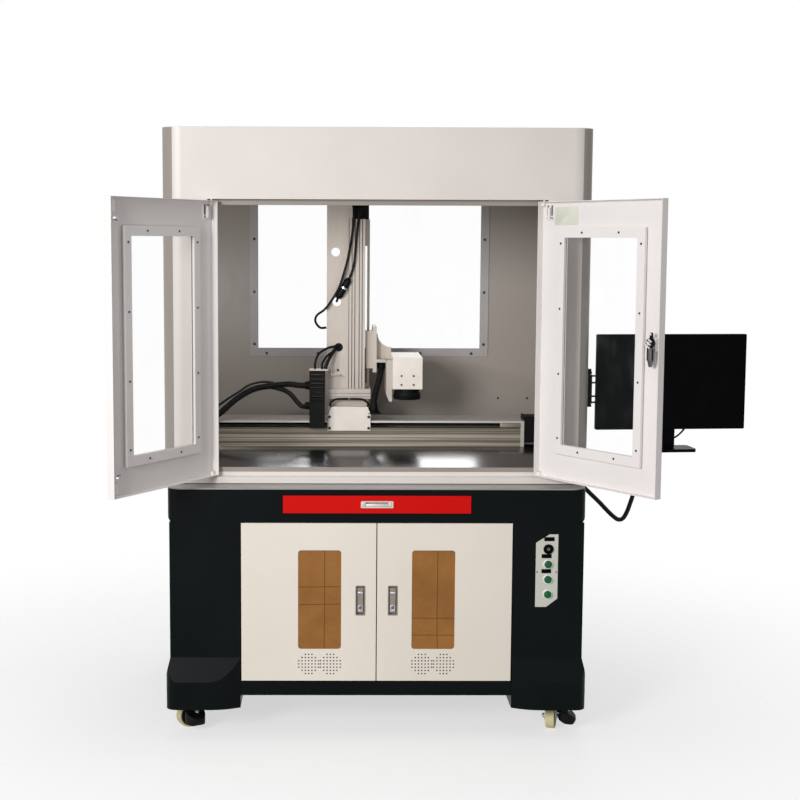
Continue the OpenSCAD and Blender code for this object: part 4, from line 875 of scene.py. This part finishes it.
panel = {
    "heights": (583, 536.5, 490, 444), "screwZ": 512, "middleShift": 3.5,
    "labels": ((3, 613, 31), (-4.6, 560.8, 30), (-5, 514.6, 29)), "labelHalf": 6.2,
}


def addPanelParts():
    low, high = nodeBox("control_plate")
    x = (low.x + high.x) / 2 + panel["middleShift"]
    mesh = bmesh.new()
    capScrews(mesh, grid((low.x + 4.5, high.x - 4.5), low.y, (panel["screwZ"],)), forward, 2.2, 1.2)
    closeUp(mesh, "panelScrews", "machine", "darkScrew")

    mesh = bmesh.new()
    for shift, z, wide in panel["labels"]:
        left, right, half = x + shift - wide / 2, x + shift + wide / 2, panel["labelHalf"]
        slab(mesh, (left, low.y - 0.9, z - half), (right, low.y, z + half), 0.25, 1, 0.6)
    closeUp(mesh, "blankLabelPlates", "machine", "blackGloss")

    mesh = bmesh.new()
    bezel = [(11.2, 0), (15.4, 0), (15.4, 1.4), (13.8, 3.4), (12.2, 3.8), (11.2, 2.2)]
    for z in panel["heights"][1:]:
        spunRing(mesh, bezel, (x, low.y, z), forward)
    closeUp(mesh, "buttonRings", "machine", "brightRing")

    mesh = bmesh.new()
    collar = [(4.9, 4.2), (15.2, 4.2), (15.2, 4.8), (14.0, 6.2), (6.4, 6.6), (4.9, 5.6)]
    spunRing(mesh, collar, (x, low.y, panel["heights"][0]), forward)
    closeUp(mesh, "keySwitchRing", "machine", "blackGloss")

    cap = [(0, -6), (8.9, -6), (8.9, 7.4), (11.2, 7.4), (11.2, 8.6), (10.6, 9.8), (8.4, 10.5), (0, 10.8)]
    for name, z in zip(("upper", "middle", "lower"), panel["heights"][1:]):
        mesh = bmesh.new()
        spun(mesh, cap, (x, low.y, z), forward)
        obj = closeUp(mesh, name + "ButtonCap", name + "_button", "greenButton", 50)
        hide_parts(name + "_button")


addPanelParts()
print("doors, drawer and panel fitted")

castor = {
    "x": 555, "y": 378, "trail": 28, "wheel": 37.5, "halfWidth": 14, "headings": {"left": 30, "right": 75},
    "forkScrews": (17, 12, 82.6), "plateBolts": (36, 23, 100), "paddleTurn": (0, -0.35, 0.94),
}


def castorTurn(side, front):
    if front:
        x, y, angle = castor["x"], -castor["y"], castor["headings"][side]
    else:
        x, y, angle = castor["x"], castor["y"], 90
    pin = Vector((x if side == "right" else -x, y, 0)) / 1000
    return Matrix.Translation(pin) @ Matrix.Rotation(math.radians(angle), 4, "Z")


def addBrakePedal(side):  # the paddle's solid, rounded as a moulding is
    node = frame["nodes"][side + "_brake_pedal"]
    mesh = bmesh.new()
    mesh.from_mesh(node.data)
    bmesh.ops.remove_doubles(mesh, verts=mesh.verts, dist=1e-5)
    obj = closeUp(mesh, side + "BrakePaddle", side + "_pedal", sharp=180)
    remesh = obj.modifiers.new("remesh", "REMESH")
    remesh.mode = "VOXEL"
    remesh.voxel_size = 0.0018
    remesh.use_smooth_shade = True
    rounding = obj.modifiers.new("rounding", "SMOOTH")
    rounding.factor = 0.6
    rounding.iterations = 14
    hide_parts(side + "_brake_pedal")
    turn = castorTurn(side, True)
    mesh = bmesh.new()
    x = -castor["trail"] + 4
    drum(mesh, (x, -50, 57), castor["paddleTurn"], 7.0, 4.0, 1.2, 24)
    capScrews(mesh, [(x, -51.4, 60.6)], castor["paddleTurn"], 4.6, 3.0)
    closeUp(mesh, side + "PaddleBolt", side + "_pedal", "chromePart", turn=turn)


def corners(x, y, z):
    return [(a, b, z) for a in (-x, x) for b in (-y, y)]


def addCastorParts(side, front):  # hub covers and bolts
    turn = castorTurn(side, front)
    off = -castor["trail"] if front else 0
    corner = side + ("Front" if front else "Rear")
    cover = [(9.2, -1.5), (28.5, -1.5), (30.5, -0.6), (31.5, 0.6), (27, 1.0), (9.2, 1.0)]
    mesh = bmesh.new()
    for way in (-1, 1):
        place = off, way * (castor["halfWidth"] - 0.2), castor["wheel"]
        spunRing(mesh, cover, place, (0, way, 0), 48)
    wheel = ("front_" if front else "rear_") + side + "_wheel"
    closeUp(mesh, corner + "WheelCovers", wheel, turn=turn)

    reach = castor["halfWidth"] + 4.5
    mesh = bmesh.new()
    for way in (-1, 1):
        if not front or way > 0:
            drum(mesh, (off, way * (reach + 3), castor["wheel"]), (0, way, 0), 7.5, 4.5, 0.8, 6)
            drum(mesh, (off, way * (reach + 7), castor["wheel"]), (0, way, 0), 4.0, 2.5, 0.8, 20)
    for place in corners(*castor["forkScrews"]):
        drum(mesh, place, downward, 2.6, 1.8, 0.5, 14)
    body = side + "_fork" if front else "machine"
    closeUp(mesh, corner + "ForkBolts", body, "zincSteel", turn=turn)

    mesh = bmesh.new()
    for place in corners(*castor["plateBolts"]):
        drum(mesh, place, downward, 5.5, 4.5, 0.7, 6)
    shift = Matrix.Translation(turn.translation)
    closeUp(mesh, corner + "PlateBolts", "machine", "zincSteel", turn=shift)


for side in ("left", "right"):
    addBrakePedal(side)
    for front in (True, False):
        addCastorParts(side, front)
print("castors fitted")

carriageBolts = {
    "xs": (-142.5, -8), "zs": (903, 864), "headXs": (99.5, 140.5), "headZs": (1053, 1023),
    "angle": (-114, 212, 1062),
}
columnParts = {
    "leadHole": (-112, 215.2, 1141), "angle": (-139, -107, 1045, 1087), "recess": (-139, -12, 938, 964),
    "grooves": ((-67.9, -65.1), (-57.9, -55.1), (-42.9, -40.1), (-32.9, -30.1)), "seam": (-78.6, -76.2, 212),
    "profileZ": (998, 1579), "neckX": (-152.5, -2.5), "neckLines": (970, 982),
    "grooveY": 207, "neckY": 197, "panelY": 212,
}


def addColumnParts():
    saddle = nodeBox("x_carriage")[0]
    mesh = bmesh.new()
    x, y, z = columnParts["leadHole"]
    drum(mesh, (x, y, z), forward, 12.3, 5, 1.0, 30)
    drum(mesh, (x, y - 3.2, z), forward, 14.5, 2.4, 1.0, 30, bore=10, deep=1.4)
    closeUp(mesh, "leadGrommet", "x_axis")

    x0, x1, z0, z1 = columnParts["angle"]
    mesh = bmesh.new()
    y = columnParts["panelY"]
    slab(mesh, (x0, y - 3, z0), (x1, y + 0.5, z0 + 7), 0.5)
    slab(mesh, (x0, y - 12, z0), (x0 + 5, y + 0.5, z1), 0.5)
    slab(mesh, (x0, y - 20, z0), (x1, y, z0 + 3), 0.5)
    closeUp(mesh, "columnAngle", "x_axis", "whiteMetal")

    # painted shade: dark strips stand in for the shade in the column's grooves, its seam and the lines across
    # its neck
    mesh = bmesh.new()
    z0, z1 = columnParts["profileZ"]
    y = columnParts["grooveY"]
    for x0, x1 in columnParts["grooves"]:
        slab(mesh, (x0, y, z0), (x1, y + 0.9, z1), 0.1)
    x0, x1, y = columnParts["seam"]
    slab(mesh, (x0, y - 0.6, z0), (x1, y, z1), 0.1)
    x0, x1 = columnParts["neckX"]
    y = columnParts["neckY"]
    for z in columnParts["neckLines"]:
        slab(mesh, (x0, y - 0.3, z), (x1, y + 0.3, z + 1.8), 0.1)
    closeUp(mesh, "grooveShadeStrips", "x_axis", "zincDark")

    x0, x1, z0, z1 = columnParts["recess"]
    bends = ((0, z0), (1, z0 + 12), (-8, z1 - 6), (-22, z1), (-62, z1 + 1))  # outwards from the edge, and z
    for way, edge, name in ((-1, x0, "leftRecessLoop"), (1, x1, "rightRecessLoop")):
        line = smoothRoute([(edge + way * out, saddle.y + 3, z) for out, z in bends], 18)[0]
        closeUp(tubeAlong(line, [0.0036] * len(line), 12), name, "x_axis", "blackPlastic", 60)


moduleParts = {
    "endStop": (446, 516, 866, 881), "beltZ": (866.5, 881.5), "wallXs": (470, 576), "wallZ": 939,
}


def addModuleParts():  # the stop and the belt in the slot, and the screws in the wall behind
    x0, x1, z0, z1 = moduleParts["endStop"]
    low, high = nodeBox("module_body")
    mesh = bmesh.new()
    slab(mesh, (x0, low.y + 1, z0), (x1, low.y + 10, z1), 0.8, 0, 2)
    capScrews(mesh, grid((x0 + 10, x1 - 12), low.y + 1, ((z0 + z1) / 2,)), forward, 3, 1.6)
    closeUp(mesh, "slotEndStop", "machine", "satinNickel")
    mesh = bmesh.new()
    middle = (low.y + high.y) / 2
    z0, z1 = moduleParts["beltZ"]
    slab(mesh, (low.x + 2, middle - 3, z0), (high.x - 2, middle + 3, z1), 0.8)
    closeUp(mesh, "slotBelt", "machine", "blackPlastic")
    rear = nodeBox("hood_rear_panel")[0].y
    mesh = bmesh.new()
    capScrews(mesh, grid(moduleParts["wallXs"], rear, (moduleParts["wallZ"],)), forward, 4.0, 2.0)
    closeUp(mesh, "rearPanelScrews", "machine", "darkScrew")


def addAxisFasteners():
    saddle = nodeBox("x_carriage")[0]
    head = nodeBox("scan_head")[0]
    mesh = bmesh.new()
    capScrews(mesh, grid(carriageBolts["xs"], saddle.y, carriageBolts["zs"]), forward, 5.0, 3.2)
    capScrews(mesh, [carriageBolts["angle"]], forward, 4.2, 3.0)
    closeUp(mesh, "saddleBolts", "x_axis", "darkScrew")
    mesh = bmesh.new()
    capScrews(mesh, grid(carriageBolts["headXs"], head.y, carriageBolts["headZs"]), forward, 3.4, 2.0)
    closeUp(mesh, "headScrews", "z_axis", "darkScrew")


def addLens():  # knurled barrel and glass under the scan head
    low, high = nodeBox("scan_lens")
    x, y = (low.x + high.x) / 2, (low.y + high.y) / 2
    rad, tall = (high.x - low.x) / 2, high.z - low.z
    mesh = bmesh.new()
    groove = rad * 0.97
    outline = [(rad * 0.72, tall - 3), (rad * 0.72, 2.5), (rad * 0.86, 0.5), (rad * 0.95, 0), (groove, 1.2)]
    for k in range(5):
        z = 3 + k * 2.6
        outline += [(groove, z), (rad, z + 0.6), (rad, z + 1.5), (groove, z + 2.1)]
    outline += [(groove, tall * 0.62), (rad * 0.9, tall * 0.66), (rad * 0.9, tall), (0, tall)]
    spun(mesh, outline, (x, y, low.z), upward, 56)
    bmesh.ops.holes_fill(mesh, edges=[e for e in mesh.edges if e.is_boundary], sides=0)
    obj = closeUp(mesh, "lensBarrel", "z_axis", "blackMotor")
    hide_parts("scan_lens")
    mesh = bmesh.new()
    glass = [(0, 5.5), (rad * 0.3, 5.2), (rad * 0.55, 4.2), (rad * 0.71, 2.6), (rad * 0.71, 8), (0, 8)]
    spun(mesh, glass, (x, y, low.z), upward, 48)
    closeUp(mesh, "lensGlass", "z_axis", "lensGlass")


addColumnParts()
addModuleParts()
addAxisFasteners()
addLens()


def scaled(outline, size):
    return [(rad * size, high) for rad, high in outline]


def addLeadFittings():  # glands and plugs at the ends of the hoses and leads
    route = {name: [Vector(p) for p in points] for name, points in cordRoutes.items()}
    mesh = bmesh.new()
    gland = [(0.72, 0), (0.95, 0), (0.95, 6), (0.8, 14), (0.72, 15)]
    for name, size in (("hoseA", 16), ("hoseC", 8.5)):
        start = route[name][0]
        drum(mesh, start, upward, size, 9, 1.0, 6)
        spunRing(mesh, scaled(gland, size), start + Vector((0, 0, 9)), upward)
    closeUp(mesh, "tableGlands", "machine")

    mesh = bmesh.new()
    socket = [(0.8, 0), (1.1, 0), (1.1, 5), (1, 6), (1, 14), (0.8, 16)]
    for name, size in (("hoseA", 14), ("hoseB", 12.5)):
        end = route[name][-1]
        way = (route[name][-2] - end).normalized()
        spunRing(mesh, scaled(socket, size), end - way * 1, way)
    boot = [(4.2, 0), (8.0, 0), (8.0, 4), (6.8, 6), (6.2, 14), (5.0, 17), (4.2, 17)]
    for name in ("zMotorLead", "brakeLead"):
        spunRing(mesh, boot, route[name][0], forward)
    end = route["headConduit"][-1]
    flare = [(10.8, 0), (27, 0), (27, 2), (21, 6), (16, 13), (13, 24), (11.6, 34), (10.8, 34)]
    spunRing(mesh, flare, end, (route["headConduit"][-2] - end).normalized())
    closeUp(mesh, "leadSockets", "x_axis")

    mesh = bmesh.new()
    sleeve = [(10.8, 0), (15, 0), (15, 5), (13, 16), (11.6, 24), (10.8, 24)]
    spunRing(mesh, sleeve, route["headConduit"][0], downward)
    closeUp(mesh, "headGland", "z_axis")


brakePlug = {"from": 5, "to": 7, "bore": 4.2}  # the points of the route between which the plug sits


def addBrakePlug():
    a, b = (Vector(cordRoutes["brakeLead"][brakePlug[end]]) for end in ("from", "to"))
    way, length = (b - a).normalized(), (b - a).length
    bore = brakePlug["bore"]
    mesh = bmesh.new()
    front = [(bore, 0), (6, 0), (11.5, 9), (12.2, 12), (12.2, length * 0.42), (11.4, length * 0.44)]
    spunRing(mesh, front + [(bore, length * 0.44)], a, way)
    rear = ((bore, 0.52), (11.4, 0.52), (12.6, 0.54), (12.6, 0.85), (9.5, 0.93), (6, 1.02), (bore, 1.02))
    spunRing(mesh, [(rad, length * part) for rad, part in rear], a, way)
    closeUp(mesh, "brakePlugPair", "x_axis")
    mesh = bmesh.new()
    nut = ((bore, 0.44), (13.2, 0.44), (13.2, 0.52), (bore, 0.52))
    spunRing(mesh, [(rad, length * part) for rad, part in nut], a, way)
    closeUp(mesh, "brakePlugNut", "x_axis", "chromePart")


def addScreenCableRelief():
    line = smoothRoute(cordRoutes["screenCable"][:4], 12)[0]
    mesh = tubeAlong(line[:7], [0.0115 - 0.0005 * i for i in range(7)], 24)
    closeUp(mesh, "cableRelief", "machine", sharp=60)
    mesh = bmesh.new()
    gland = [(7.4, 0), (17, 0), (17, 3), (14.5, 4.2), (14.5, 9), (12, 11.5), (7.4, 12)]
    spunRing(mesh, gland, cordRoutes["screenCable"][0], (1, 0, 0))
    closeUp(mesh, "cableGland", "machine")


addLeadFittings()
addBrakePlug()
addScreenCableRelief()
print("axis, head and leads fitted")


def addFloor():
    f = Finish("studioFloor", {"Roughness": 0.9, "Specular IOR Level": 0.1})
    cloud = f.noise(3, 4)
    f.feed(Base_Color=f.mix(cloud, paint(244, 244, 244), paint(240, 240, 240)))
    far = f.make("ShaderNodeVectorMath", {"operation": "LENGTH"}, {0: f.spot}, 1)
    gone = f.make("ShaderNodeBsdfTransparent", {}, {})
    base = Wire(f, f.shader.outputs[0])
    seen = f.make("ShaderNodeMixShader", {}, {0: f.between(far, 0.6, 2.6, 0.62, 1.0), 1: base, 2: gone})
    out = f.tree.nodes["Material Output"]
    f.tree.links.new(seen.socket, out.inputs[0])
    mesh = bmesh.new()
    bmesh.ops.create_circle(mesh, cap_ends=True, segments=64, radius=14)
    meshObject(mesh, "studioFloor", f.material)


def addWorld():
    world = bpy.data.worlds.new("studio")
    scene.world = world
    world.use_nodes = True
    tree = world.node_tree
    background = tree.nodes["Background"]
    path = tree.nodes.new("ShaderNodeLightPath")
    seen = path.outputs["Is Camera Ray"]
    for ray in ("Is Glossy Ray", "Is Transmission Ray"):
        either = tree.nodes.new("ShaderNodeMath")
        either.operation = "MAXIMUM"
        tree.links.new(seen, either.inputs[0])
        tree.links.new(path.outputs[ray], either.inputs[1])
        seen = either.outputs[0]
    level = tree.nodes.new("ShaderNodeMapRange")
    level.inputs[3].default_value = 0.27  # what lights the object
    level.inputs[4].default_value = 1.0  # what the camera sees
    tree.links.new(seen, level.inputs[0])
    tree.links.new(level.outputs[0], background.inputs["Strength"])
    background.inputs["Color"].default_value = (1, 1, 1, 1)


addFloor()
addWorld()
scene.view_settings.view_transform = "Standard"
print("floor and world")
